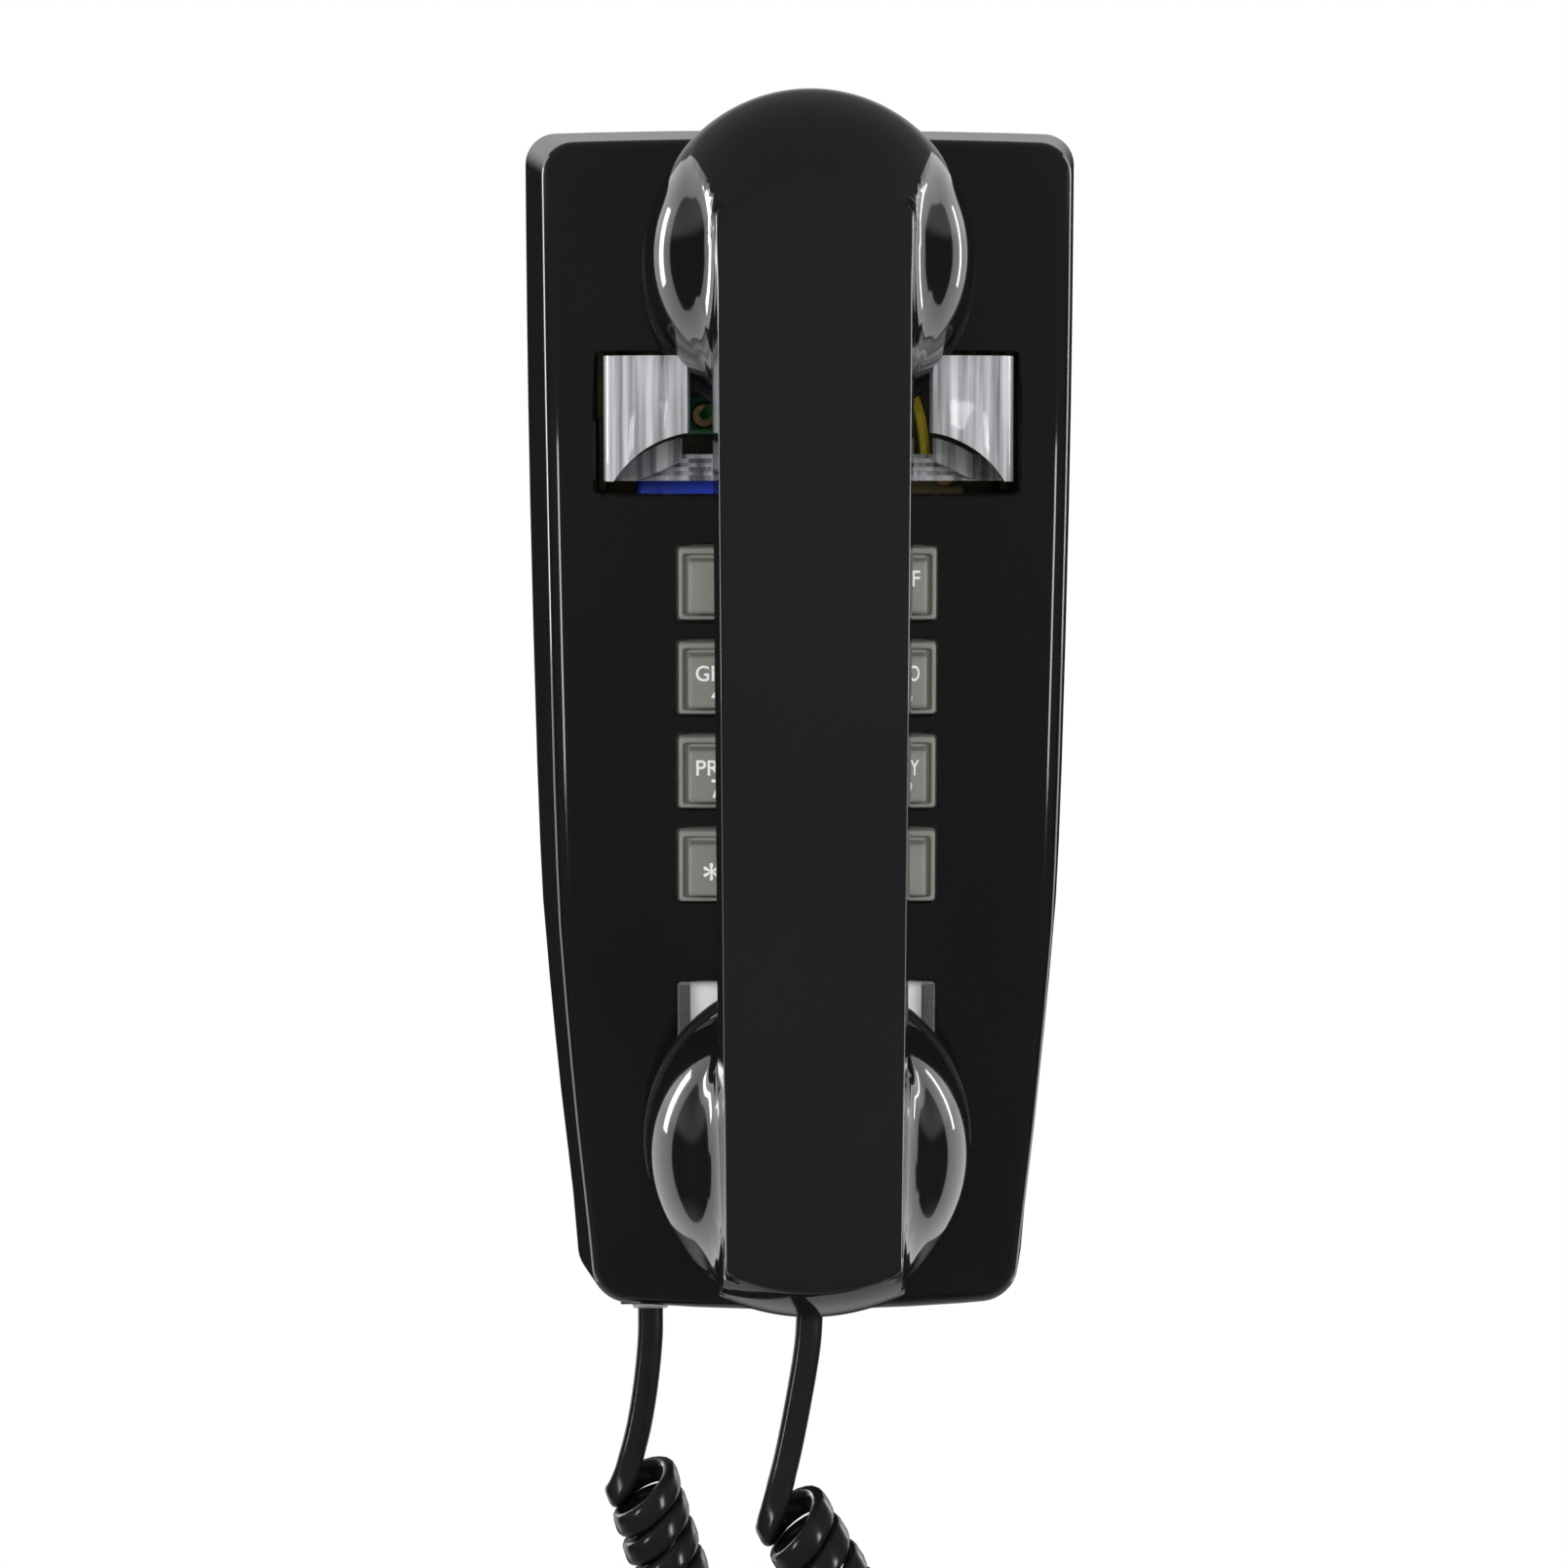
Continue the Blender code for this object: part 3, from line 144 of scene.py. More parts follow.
# ---- cord ----
CORD_WIDTH, CORD_THICKNESS = 5.0, 3.0
COIL_RADIUS, COIL_PITCH = 6.1, 6.1
COIL_SAG = Vector((0.30, 0.26, 0.0))
COIL_STEPS = 26  # points on each turn
COIL_ENTRY = math.radians(38)  # the part of the first and last turn that the folds take up
END_PITCH = 5.05
FOLD_DOWN, FOLD_INTO = 6.0, 4.5  # how strongly a fold keeps to its lead and to the coil
LEAD_TURN = math.radians(14)
LEAD_STRAIGHT = 0.66  # the share of a lead that comes before its twist
SECTION_SIDES, SECTION_POWERS = 16, (0.55, 0.8)  # below 1, so squarer than an ellipse
LEAD_BASE_ROUTE = (
    (-30.3, -30.0, -114.4), (-30.4, -30.0, -121.0), (-31.3, -30.0, -130.0),
    (-32.7, -30.0, -138.5), (-34.6, -30.0, -146.0),
)
COIL_ROUTE = (
    (-32.3, -30.0, -149.4), (-26.0, -31.0, -168.5), (-16.5, -35.0, -194.0),
    (-3.0, -42.0, -220.0), (13.0, -52.0, -244.0), (33.0, -64.0, -254.0),
    (49.0, -74.0, -240.0), (44.0, -81.0, -216.0), (29.0, -85.0, -193.0),
    (11.5, -85.5, -167.5), (-3.6, -85.0, -143.6),
)
LEAD_HANDSET_ROUTE = (
    (0.0, -85.0, -104.2), (-0.4, -85.0, -111.0), (-1.8, -85.0, -120.0),
    (-3.9, -85.0, -131.0), (-5.9, -85.0, -139.4),
)

# ---- camera and floor, in metres ----
CAMERA_AT = (-0.0216, -0.9579, 0.0612)
CAMERA_TURN = (math.radians(85.6), 0.0, math.radians(-1.1))
CAMERA_ANGLE = math.radians(18.85)
FLOOR_RADIUS, FLOOR_Z = 0.58, -0.42


# -------- materials --------

def shader_of(mat):
    return mat.node_tree.nodes["Principled BSDF"]


def set_sockets(node, **values):
    """Values for a node's sockets by name, with an underscore for each space."""
    for socket, value in values.items():
        node.inputs[socket.replace("_", " ")].default_value = value
    return node


def material(name, dark, light, roughness, grain=60.0, bump=(900.0, 0.05), stretch=(1, 1, 1),
             spread=0.5, **fixed):
    """A moulded or metal surface: two tones of one colour, uneven gloss and a fine relief."""
    mat = bpy.data.materials.new(name)
    mat.use_nodes = True
    nodes, links = mat.node_tree.nodes, mat.node_tree.links
    shader = shader_of(mat)
    place = nodes.new("ShaderNodeTexCoord")
    mapping = set_sockets(nodes.new("ShaderNodeMapping"), Scale=stretch)
    links.new(place.outputs["Object"], mapping.inputs["Vector"])

    def noise(scale, detail):
        node = set_sockets(nodes.new("ShaderNodeTexNoise"), Scale=scale, Detail=detail)
        links.new(mapping.outputs["Vector"], node.inputs["Vector"])
        return node

    tone = nodes.new("ShaderNodeMix")
    tone.data_type = "RGBA"
    set_sockets(tone, A=(*dark, 1.0), B=(*light, 1.0))
    patches = set_sockets(nodes.new("ShaderNodeMapRange"), From_Min=0.5 - spread,
                          From_Max=0.5 + spread)
    links.new(noise(grain, 3.0).outputs["Fac"], patches.inputs["Value"])
    links.new(patches.outputs["Result"], tone.inputs["Factor"])
    links.new(tone.outputs["Result"], shader.inputs["Base Color"])
    gloss = set_sockets(nodes.new("ShaderNodeMapRange"), To_Min=roughness[0], To_Max=roughness[1])
    links.new(noise(grain * 2.3, 4.0).outputs["Fac"], gloss.inputs["Value"])
    links.new(gloss.outputs["Result"], shader.inputs["Roughness"])
    relief = set_sockets(nodes.new("ShaderNodeBump"), Strength=bump[1], Distance=0.0002)
    links.new(noise(bump[0], 2.0).outputs["Fac"], relief.inputs["Height"])
    links.new(relief.outputs["Normal"], shader.inputs["Normal"])
    set_sockets(shader, **fixed)
    return mat


def clear_material(name, dark, light, roughness, share, tint, **more):
    """Clear plastic as a thin skin that light goes straight through, less so seen edge on."""
    mat = material(name, dark, light, roughness, **more)
    nodes, links = mat.node_tree.nodes, mat.node_tree.links
    through = set_sockets(nodes.new("ShaderNodeBsdfTransparent"), Color=(*tint, 1.0))
    edge = set_sockets(nodes.new("ShaderNodeLayerWeight"), Blend=0.35)
    body = set_sockets(nodes.new("ShaderNodeMapRange"), To_Min=share[0], To_Max=share[1])
    links.new(edge.outputs["Facing"], body.inputs["Value"])
    mix = nodes.new("ShaderNodeMixShader")
    links.new(body.outputs["Result"], mix.inputs["Fac"])
    links.new(through.outputs["BSDF"], mix.inputs[1])
    links.new(shader_of(mat).outputs["BSDF"], mix.inputs[2])
    links.new(mix.outputs["Shader"], nodes["Material Output"].inputs["Surface"])
    return mat


def board_material(name, base, track):
    """A circuit board: solder mask with a lattice of slightly paler tracks under it."""
    mat = material(name, base, [c * 1.5 for c in base], (0.25, 0.45), bump=(500.0, 0.1))
    nodes, links = mat.node_tree.nodes, mat.node_tree.links
    shader = shader_of(mat)
    place = nodes.new("ShaderNodeTexCoord")
    bricks = set_sockets(nodes.new("ShaderNodeTexBrick"), Scale=60.0, Mortar_Size=0.06,
                         Color1=(*base, 1.0), Color2=(*[c * 1.3 for c in base], 1.0),
                         Mortar=(*track, 1.0))
    turn = set_sockets(nodes.new("ShaderNodeMapping"), Rotation=(math.pi / 2, 0.0, 0.0))
    links.new(place.outputs["Object"], turn.inputs["Vector"])
    links.new(turn.outputs["Vector"], bricks.inputs["Vector"])
    links.new(bricks.outputs["Color"], shader.inputs["Base Color"])
    return mat


BLACK = material("black_gloss", (0.0045, 0.0045, 0.0050), (0.0075, 0.0075, 0.0085), (0.05, 0.10),
                 grain=25.0, bump=(220.0, 0.012), Specular_IOR_Level=0.5)
HANDSET_BLACK = material("handset_gloss", (0.0058, 0.0058, 0.0064), (0.0090, 0.0090, 0.0098),
                         (0.045, 0.09), grain=22.0, bump=(200.0, 0.012))
CAP_BLACK = material("cap_satin", (0.008, 0.008, 0.009), (0.013, 0.013, 0.014), (0.22, 0.34),
                     grain=70.0, bump=(1500.0, 0.10))
CORD_BLACK = material("cord_vinyl", (0.0050, 0.0050, 0.0056), (0.009, 0.009, 0.010), (0.14, 0.24),
                      grain=90.0, bump=(700.0, 0.06))
KEY_GREY = material("key_grey", (0.185, 0.192, 0.168), (0.225, 0.232, 0.205), (0.36, 0.50),
                    grain=140.0, bump=(1600.0, 0.10))
LEGEND = material("legend_white", (0.78, 0.78, 0.76), (0.88, 0.88, 0.86), (0.40, 0.55), grain=300.0)
# painted highlights and shade: the clear plastic's dark and pale tones are drawn out into upright
# streaks that stand for the curved prongs' reflections and the dark seen through them
CLEAR = clear_material("clear_plastic", (0.14, 0.145, 0.155), (0.86, 0.87, 0.89), (0.04, 0.12),
                       (0.55, 1.0), (0.86, 0.87, 0.88), grain=420.0, stretch=(1, 1, 0.04),
                       bump=(160.0, 0.06), spread=0.14)
PANE = clear_material("pane_plastic", (0.80, 0.80, 0.82), (0.92, 0.92, 0.94), (0.03, 0.08),
                      (0.03, 0.60), (0.98, 0.98, 0.98), grain=60.0, bump=(120.0, 0.03))
PLUG = clear_material("plug_plastic", (0.45, 0.47, 0.49), (0.70, 0.72, 0.74), (0.06, 0.14),
                      (0.25, 0.9), (0.85, 0.87, 0.88), grain=90.0)
PAPER = material("card_paper", (0.88, 0.88, 0.88), (0.95, 0.95, 0.95), (0.55, 0.75), grain=420.0,
                 bump=(1800.0, 0.25))
DARK = material("dark_plastic", (0.018, 0.018, 0.019), (0.035, 0.035, 0.037), (0.30, 0.45),
                grain=120.0, bump=(1300.0, 0.15))
STEEL = material("zinc_steel", (0.36, 0.37, 0.36), (0.60, 0.61, 0.59), (0.22, 0.42), grain=90.0,
                 stretch=(1, 1, 9), Metallic=1.0)
CHROMATE = material("chromate_steel", (0.26, 0.235, 0.13), (0.46, 0.42, 0.25), (0.28, 0.45),
                    grain=70.0, stretch=(1, 1, 6), Metallic=1.0)
SPRING_STEEL = material("spring_steel", (0.42, 0.42, 0.41), (0.66, 0.66, 0.65), (0.18, 0.30),
                        grain=200.0, Metallic=1.0)
BRASS = material("brass", (0.58, 0.40, 0.15), (0.80, 0.60, 0.28), (0.16, 0.34), grain=150.0,
                 stretch=(1, 6, 1), Metallic=1.0)
COPPER = material("copper", (0.55, 0.25, 0.12), (0.85, 0.48, 0.28), (0.18, 0.32), grain=420.0,
                  stretch=(8, 1, 1), Metallic=1.0)
BLUE = material("blue_plastic", (0.035, 0.085, 0.80), (0.055, 0.125, 1.00), (0.20, 0.35),
                grain=110.0)
OLIVE = material("phenolic", (0.06, 0.055, 0.02), (0.14, 0.12, 0.05), (0.35, 0.55), grain=240.0)
MAT_GREY = material("silicone_mat", (0.30, 0.31, 0.31), (0.40, 0.41, 0.41), (0.55, 0.75),
                    grain=160.0)
YELLOW = material("yellow_vinyl", (0.42, 0.32, 0.02), (0.62, 0.50, 0.05), (0.28, 0.42), grain=160.0)
GREEN = material("green_vinyl", (0.03, 0.18, 0.05), (0.08, 0.33, 0.10), (0.28, 0.42), grain=160.0)
RED = material("red_vinyl", (0.20, 0.02, 0.02), (0.36, 0.04, 0.03), (0.28, 0.42), grain=160.0)
BOARD = board_material("board_green", (0.02, 0.11, 0.045), (0.07, 0.22, 0.07))
FLOOR = material("pale_floor", (0.80, 0.80, 0.80), (0.86, 0.86, 0.86), (0.55, 0.75), grain=3.0,
                 bump=(40.0, 0.02))


# -------- mesh helpers --------

def metres(point):
    return Vector([float(value) * MM for value in point])


def add_object(name, mesh, mat, smooth_angle=35.0):
    """A piece with its material, or, without one, a hidden cutter."""
    obj = bpy.data.objects.new(name, mesh)
    bpy.context.scene.collection.objects.link(obj)
    if mat is None:
        obj.hide_render = True
        obj.hide_viewport = True
        return obj
    mesh.materials.append(mat)
    mesh.shade_smooth()
    mesh.set_sharp_from_angle(angle=math.radians(smooth_angle))
    return obj


def mesh_of(bm, name):
    bmesh.ops.recalc_face_normals(bm, faces=bm.faces)
    mesh = bpy.data.meshes.new(name)
    bm.to_mesh(mesh)
    bm.free()
    return mesh


def loft_mesh(name, rings):
    """Closed rings of points joined in order, with flat ends."""
    bm = bmesh.new()
    loops = [[bm.verts.new(metres(p)) for p in ring] for ring in rings]
    count = len(loops[0])
    for a, b in zip(loops, loops[1:]):
        for i in range(count):
            bm.faces.new((a[i], a[(i + 1) % count], b[(i + 1) % count], b[i]))
    bm.faces.new(loops[0])
    bm.faces.new(reversed(loops[-1]))
    return mesh_of(bm, name)


def rounded(half_w, half_h, radius, shift):
    """A rectangle with round corners, anticlockwise, moved up by the shift."""
    steps = 5
    points = []
    for index, (sx, sy) in enumerate(((1, 1), (-1, 1), (-1, -1), (1, -1))):
        for step in range(steps + 1):
            angle = math.pi / 2 * (index + step / steps)
            points.append((sx * (half_w - radius) + radius * math.cos(angle),
                           shift + sy * (half_h - radius) + radius * math.sin(angle)))
    return points


def stack(name, levels, mat, place):
    """A loft of rounded rectangles: (half width, half height, corner radius, depth, shift)."""
    rings = [[(x, depth, z) for x, z in rounded(half_w, half_h, radius, shift)]
             for half_w, half_h, radius, depth, shift in levels]
    obj = add_object(name, loft_mesh(name, rings), mat)
    obj.data.transform(place)
    return obj


def lathe(name, profile, at, axis, mat, steps):
    """A turned piece from (radius, height) points; the ends are closed by their own discs."""
    rings = []
    for radius, height in profile:
        reach = max(radius, 0.02)
        rings.append([(reach * math.cos(2 * math.pi * i / steps),
                       reach * math.sin(2 * math.pi * i / steps), height) for i in range(steps)])
    obj = add_object(name, loft_mesh(name, rings), mat)
    turn = Vector(axis).normalized().to_track_quat("Z", "Y").to_matrix().to_4x4()
    obj.data.transform(Matrix.Translation(metres(at)) @ turn)
    return obj


def cylinder(name, at, axis, radius, length, steps=48):
    return lathe(name, ((radius, 0.0), (radius, length)), at, axis, None, steps)


def box(name, low, high, mat=None):
    low, high = metres(low), metres(high)
    bm = bmesh.new()
    place = Matrix.Translation((low + high) / 2) @ Matrix.Diagonal((*(high - low), 1.0))
    bmesh.ops.create_cube(bm, size=1.0, matrix=place)
    return add_object(name, mesh_of(bm, name), mat)


def cut(obj, cutters, operation="DIFFERENCE"):
    """Applies Booleans to a mesh in turn and removes the cutters."""
    for cutter in cutters:
        step = obj.modifiers.new(cutter.name, "BOOLEAN")
        step.operation = operation
        step.object = cutter
        apply_modifiers(obj)
        bpy.data.objects.remove(cutter, do_unlink=True)


def apply_modifiers(obj):
    bpy.context.view_layer.update()
    graph = bpy.context.evaluated_depsgraph_get()
    mesh = bpy.data.meshes.new_from_object(obj.evaluated_get(graph))
    obj.modifiers.clear()
    obj.data = mesh


def join(name, objects):
    """Merges several pieces into one object that keeps the first one's material."""
    bm = bmesh.new()
    for obj in objects:
        bm.from_mesh(obj.data)
    mesh = bpy.data.meshes.new(name)
    bm.to_mesh(mesh)
    bm.free()
    mat = objects[0].data.materials[0]
    for obj in objects:
        bpy.data.objects.remove(obj, do_unlink=True)
    return add_object(name, mesh, mat)


def sharpen(obj, angle):
    """Smooth shading, but for the edges that turn by more than an angle in degrees."""
    obj.data.shade_smooth()
    obj.data.set_sharp_from_angle(angle=math.radians(angle))


def bevel(obj, width, segments, angle):
    edges = obj.modifiers.new("rounded_edges", "BEVEL")
    edges.width = width * MM
    edges.segments = segments
    edges.limit_method = "ANGLE"
    edges.angle_limit = math.radians(angle)
    apply_modifiers(obj)
    sharpen(obj, 40)


def dress(obj, body, *nodes):
    """Puts a piece on its body in place of the CAD nodes that it stands for."""
    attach(obj, body)
    if nodes:
        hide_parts(*nodes)


def reached(points):
    """How far along a line each of its points is."""
    steps = [(b - a).length for a, b in zip(points, points[1:])]
    return np.concatenate([[0.0], np.cumsum(steps)])


def smooth_route(points, count):
    """Evenly spaced points on the Catmull-Rom curve through a route's own points."""
    steps = 40
    points = [Vector(p) for p in points]
    ends = [2 * points[0] - points[1]] + points + [2 * points[-1] - points[-2]]
    dense = []
    for a, b, c, d in zip(ends, ends[1:], ends[2:], ends[3:]):
        for step in range(steps):
            t = step / steps
            dense.append(0.5 * (2 * b + (c - a) * t + (2 * a - 5 * b + 4 * c - d) * t ** 2
                                + (3 * b - a - 3 * c + d) * t ** 3))
    dense.append(points[-1])
    reach = reached(dense)
    want = np.linspace(0.0, reach[-1], count)
    table = np.array([tuple(p) for p in dense])
    return [Vector([np.interp(w, reach, table[:, k]) for k in range(3)]) for w in want]


def length_of(points):
    return sum((b - a).length for a, b in zip(points, points[1:]))


# -------- camera --------

def make_camera():
    data = bpy.data.cameras.new("camera")
    data.angle = CAMERA_ANGLE
    data.clip_start = 0.02
    camera = bpy.data.objects.new("camera", data)
    camera.location = CAMERA_AT
    camera.rotation_euler = CAMERA_TURN
    bpy.context.scene.collection.objects.link(camera)
    bpy.context.scene.camera = camera


# -------- cord --------

def tangents(points):
    ends = [points[0]] + list(points) + [points[-1]]
    return [(after - before).normalized() for before, after in zip(ends, ends[2:])]


def transported(points, first):
    """A normal carried along a line without twisting."""
    normals, along = [], tangents(points)
    normal = first
    for t in along:
        normal = (normal - t * normal.dot(t)).normalized()
        normals.append(normal)
    return normals


def twisted(points, first, last, start_share):
    """Carried normals that turn late in the line to meet a given last normal."""
    normals, along = transported(points, first), tangents(points)
    flat = (last - along[-1] * last.dot(along[-1])).normalized()
    turn = math.atan2(along[-1].dot(normals[-1].cross(flat)), normals[-1].dot(flat))
    total, gone, result = length_of(points), 0.0, []
    for index, (normal, t) in enumerate(zip(normals, along)):
        if index:
            gone += (points[index] - points[index - 1]).length
        share = min(max((gone / total - start_share) / (1 - start_share), 0.0), 1.0)
        share = share * share * (3 - 2 * share)
        result.append(Matrix.Rotation(turn * share, 3, t) @ normal)
    return result


def bezier(a, b, c, d, count):
    """The points between the ends of a cubic curve."""
    return [a * (1 - t) ** 3 + 3 * b * t * (1 - t) ** 2 + 3 * c * t * t * (1 - t) + d * t ** 3
            for t in (i / count for i in range(1, count))]


def coil():
    """The helix round the coil's route, as (points, outward normals), leaving at its left side."""
    route = smooth_route(COIL_ROUTE, 700)
    along = tangents(route)
    left = Vector((-1.0, 0.0, 0.0))
    first = (left - along[0] * left.dot(along[0])).normalized()
    arms = transported(route, first)
    last = (left - along[-1] * left.dot(along[-1])).normalized()
    end_turn = math.atan2(last.dot(along[-1].cross(arms[-1])), last.dot(arms[-1]))
    reach = reached(route)
    turns = round(reach[-1] / COIL_PITCH)
    total = 2 * math.pi * turns + end_turn
    begin, finish = COIL_ENTRY, total - COIL_ENTRY
    turn_ends = (0.0, 2 * math.pi, total - 2 * math.pi, total)
    steps = int(turns * COIL_STEPS)
    points, normals = [], []
    for step in range(steps + 1):
        phase = begin + (finish - begin) * step / steps
        gone = np.interp(phase, turn_ends, (0.0, END_PITCH, reach[-1] - END_PITCH, reach[-1]))
        index = np.interp(gone, reach, np.arange(len(route)))
        low = min(int(index), len(route) - 2)
        centre = route[low].lerp(route[low + 1], index - low)
        axis = along[low].lerp(along[low + 1], index - low).normalized()
        arm = arms[low].lerp(arms[low + 1], index - low).normalized()
        radial = arm * math.cos(phase) + axis.cross(arm) * math.sin(phase)
        sag = axis * axis.z * COIL_RADIUS * radial.dot(COIL_SAG)
        points.append(centre + radial * COIL_RADIUS + sag)
        normals.append(radial)
    return points, normals


def lead(route, helix_end, helix_next, normal):
    """One straight lead and the fold that takes it into the coil, from the jack downwards."""
    line = smooth_route(route, 30)
    down = (line[-1] - line[-2]).normalized()
    into = (helix_next - helix_end).normalized()
    line += bezier(line[-1], line[-1] + down * FOLD_DOWN,
                   helix_end - into * FOLD_INTO, helix_end, 14)
    line.append(helix_end)
    facing = Matrix.Rotation(LEAD_TURN, 3, "Z") @ Vector((0.0, -1.0, 0.0))
    return line, twisted(line, facing, normal, LEAD_STRAIGHT)


def cord_section():
    """The cord's outline: flat and wide, with round edges."""
    wide_power, thick_power = SECTION_POWERS
    section = []
    for i in range(SECTION_SIDES):
        angle = 2 * math.pi * (i + 0.5) / SECTION_SIDES
        c, s = math.cos(angle), math.sin(angle)
        section.append((math.copysign(abs(c) ** wide_power, c) * CORD_WIDTH / 2,
                        math.copysign(abs(s) ** thick_power, s) * CORD_THICKNESS / 2))
    return section


def make_cord():
    helix, radials = coil()
    base, base_normals = lead(LEAD_BASE_ROUTE, helix[0], helix[1], radials[0])
    far, far_normals = lead(LEAD_HANDSET_ROUTE, helix[-1], helix[-2], radials[-1])
    points = base[:-1] + helix + far[:-1][::-1]
    normals = base_normals[:-1] + radials + far_normals[:-1][::-1]
    section = cord_section()
    rings = []
    for point, t, normal in zip(points, tangents(points), normals):
        normal = (normal - t * normal.dot(t)).normalized()
        across = t.cross(normal)
        rings.append([point + across * a + normal * b for a, b in section])
    cord = add_object("cord", loft_mesh("cord", rings), CORD_BLACK, 50.0)
    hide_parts("cord_lead_base", "cord_coil", "cord_lead_handset")
    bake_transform(cord)


# -------- housing --------

def fine_levels():
    """The housing's levels with one more, smoothly placed, in each wide gap."""
    table = [Vector(level) for level in HOUSING_LEVELS]
    ends = [2 * table[0] - table[1]] + table + [2 * table[-1] - table[-2]]
    levels = []
    for a, b, c, d in zip(ends, ends[1:], ends[2:], ends[3:]):
        levels.append(b)
        if c[0] - b[0] > LEVEL_GAP:
            levels.append((b + c) / 2 + (b - a + c - d) / 16)
    return levels + [table[-1]]


LEVELS = fine_levels()


def front_at(z):
    """The depth of the housing's front face at a height."""
    heights, _, fronts = zip(*HOUSING_LEVELS)
    return float(np.interp(z, heights, fronts))


def housing_point(u, level, depth):
    """A corner of the cage: u goes from -1 at the left to 1, depth from 0 at the wall to 1."""
    z, half, front = LEVELS[level]
    y = front * depth - REAR_GAP * (1 - depth)
    lean = DRAFT * abs(y)
    if level == 0:
        z += lean - ARCH_BOTTOM * (1 - u * u)
    if level == len(LEVELS) - 1:
        z += ARCH_TOP * (1 - u * u) - lean
    return metres((u * (half - lean), y, z))


def housing_cage():
    """The housing before its edges are rounded, open at the rear."""
    bm = bmesh.new()
    verts = {}
    last = len(LEVELS) - 1
    columns = [i / 4 for i in range(-4, 5)]

    def vert(u, level, depth):
        key = (u, level, depth)
        if key not in verts:
            verts[key] = bm.verts.new(housing_point(*key))
        return verts[key]

    for level in range(last):
        for a, b in zip(columns, columns[1:]):
            bm.faces.new((vert(a, level, 1), vert(b, level, 1),
                          vert(b, level + 1, 1), vert(a, level + 1, 1)))
        for u in (-1.0, 1.0):
            bm.faces.new((vert(u, level, 0), vert(u, level, 1),
                          vert(u, level + 1, 1), vert(u, level + 1, 0)))
    for level in (0, last):
        for a, b in zip(columns, columns[1:]):
            bm.faces.new((vert(a, level, 0), vert(b, level, 0),
                          vert(b, level, 1), vert(a, level, 1)))
    weights = bm.edges.layers.float.new("bevel_weight_edge")
    for u in (-1.0, 1.0):
        for level in (0, last):
            bm.edges.get((vert(u, level, 0), vert(u, level, 1)))[weights] = 1.0
    return mesh_of(bm, "housing")


def front_plane(z, lower, upper):
    """A place on the front face at a height, leaning as the face does between two levels."""
    (lower_z, _, lower_y), (upper_z, _, upper_y) = HOUSING_LEVELS[lower], HOUSING_LEVELS[upper]
    tilt = math.atan2(lower_y - upper_y, upper_z - lower_z)
    return Matrix.Translation(metres((0.0, front_at(z), z))) @ Matrix.Rotation(tilt, 4, "X")


KEYPAD_PLANE = front_plane(KEYPAD_Z, *KEYPAD_LEVELS)
CARD_PLANE = front_plane(CARD_Z, *CARD_LEVELS)


def key_places():
    """Each key's name, digit, letters and place on the keypad."""
    for index, (name, digit, letters) in enumerate(KEYS):
        row, column = divmod(index, 3)
        yield name, digit, letters, (column - 1) * KEY_PITCH, (1.5 - row) * KEY_PITCH


def window_cutter(name, half_w, half_h, radius, place):
    """A through cut with a small chamfer at the outer face."""
    return stack(name, (
        (half_w + WINDOW_CHAMFER, half_h + WINDOW_CHAMFER, radius + 1.2, -1.1, 0.0),
        (half_w, half_h, radius, 0.35, 0.0),
        (half_w, half_h, radius, 9.0, 0.0),
    ), None, place)


def round_and_hollow(housing):
    """Rounds the four corners seen from the front, then the front edges, and gives the wall."""
    for width, segments, limit in ((CORNER_RADIUS, 8, "WEIGHT"), (FRONT_RADIUS, 6, "ANGLE")):
        edges = housing.modifiers.new("round_" + limit, "BEVEL")
        edges.width = width * MM
        edges.segments = segments
        edges.limit_method = limit
        edges.angle_limit = math.radians(40)
        edges.use_clamp_overlap = False
    shell = housing.modifiers.new("wall", "SOLIDIFY")
    shell.thickness = WALL * MM
    shell.offset = -1.0
    shell.use_even_offset = True
    apply_modifiers(housing)


def housing_cutters():
    """The windows for the keys, the card and the cradle, and the holes in the underside."""
    cutters = []
    half_w, half_h = KEY_HALF_W + KEY_CLEARANCE, KEY_HALF_H + KEY_CLEARANCE
    for name, _, _, x, z in key_places():
        place = KEYPAD_PLANE @ Matrix.Translation(metres((x, 0, z)))
        cutters.append(window_cutter(f"window_{name}", half_w, half_h, 0.7, place))
    cutters.append(window_cutter("card_cut", CARD_HALF_W, CARD_HALF_H, 0.6, CARD_PLANE))
    left, right, bottom, top = HOOK_WINDOW
    middle = metres(((left + right) / 2, -63.3, (bottom + top) / 2))
    cutters.append(window_cutter("hook_cut", (right - left) / 2, (top - bottom) / 2, 0.8,
                                 Matrix.Translation(middle)))
    cutters.append(box("jack_cut", (-36.5, -35.8, -125), (-24.1, -24.2, -105)))
    cutters.append(box("wheel_cut", (11.8, -16.2, -125), (32.2, -10.8, -109)))
    cutters.append(cylinder("screw_cut", (0, -12, -125), (0, 0, 1), 2.1, 15))
    return cutters


def make_housing():
    housing = add_object("housing_shell", housing_cage(), BLACK)
    round_and_hollow(housing)
    cut(housing, housing_cutters())
    weighted = housing.modifiers.new("even_shading", "WEIGHTED_NORMAL")
    weighted.keep_sharp = True
    weighted.weight = 80
    sharpen(housing, 38)
    dress(housing, "base", "housing")


# -------- keys --------

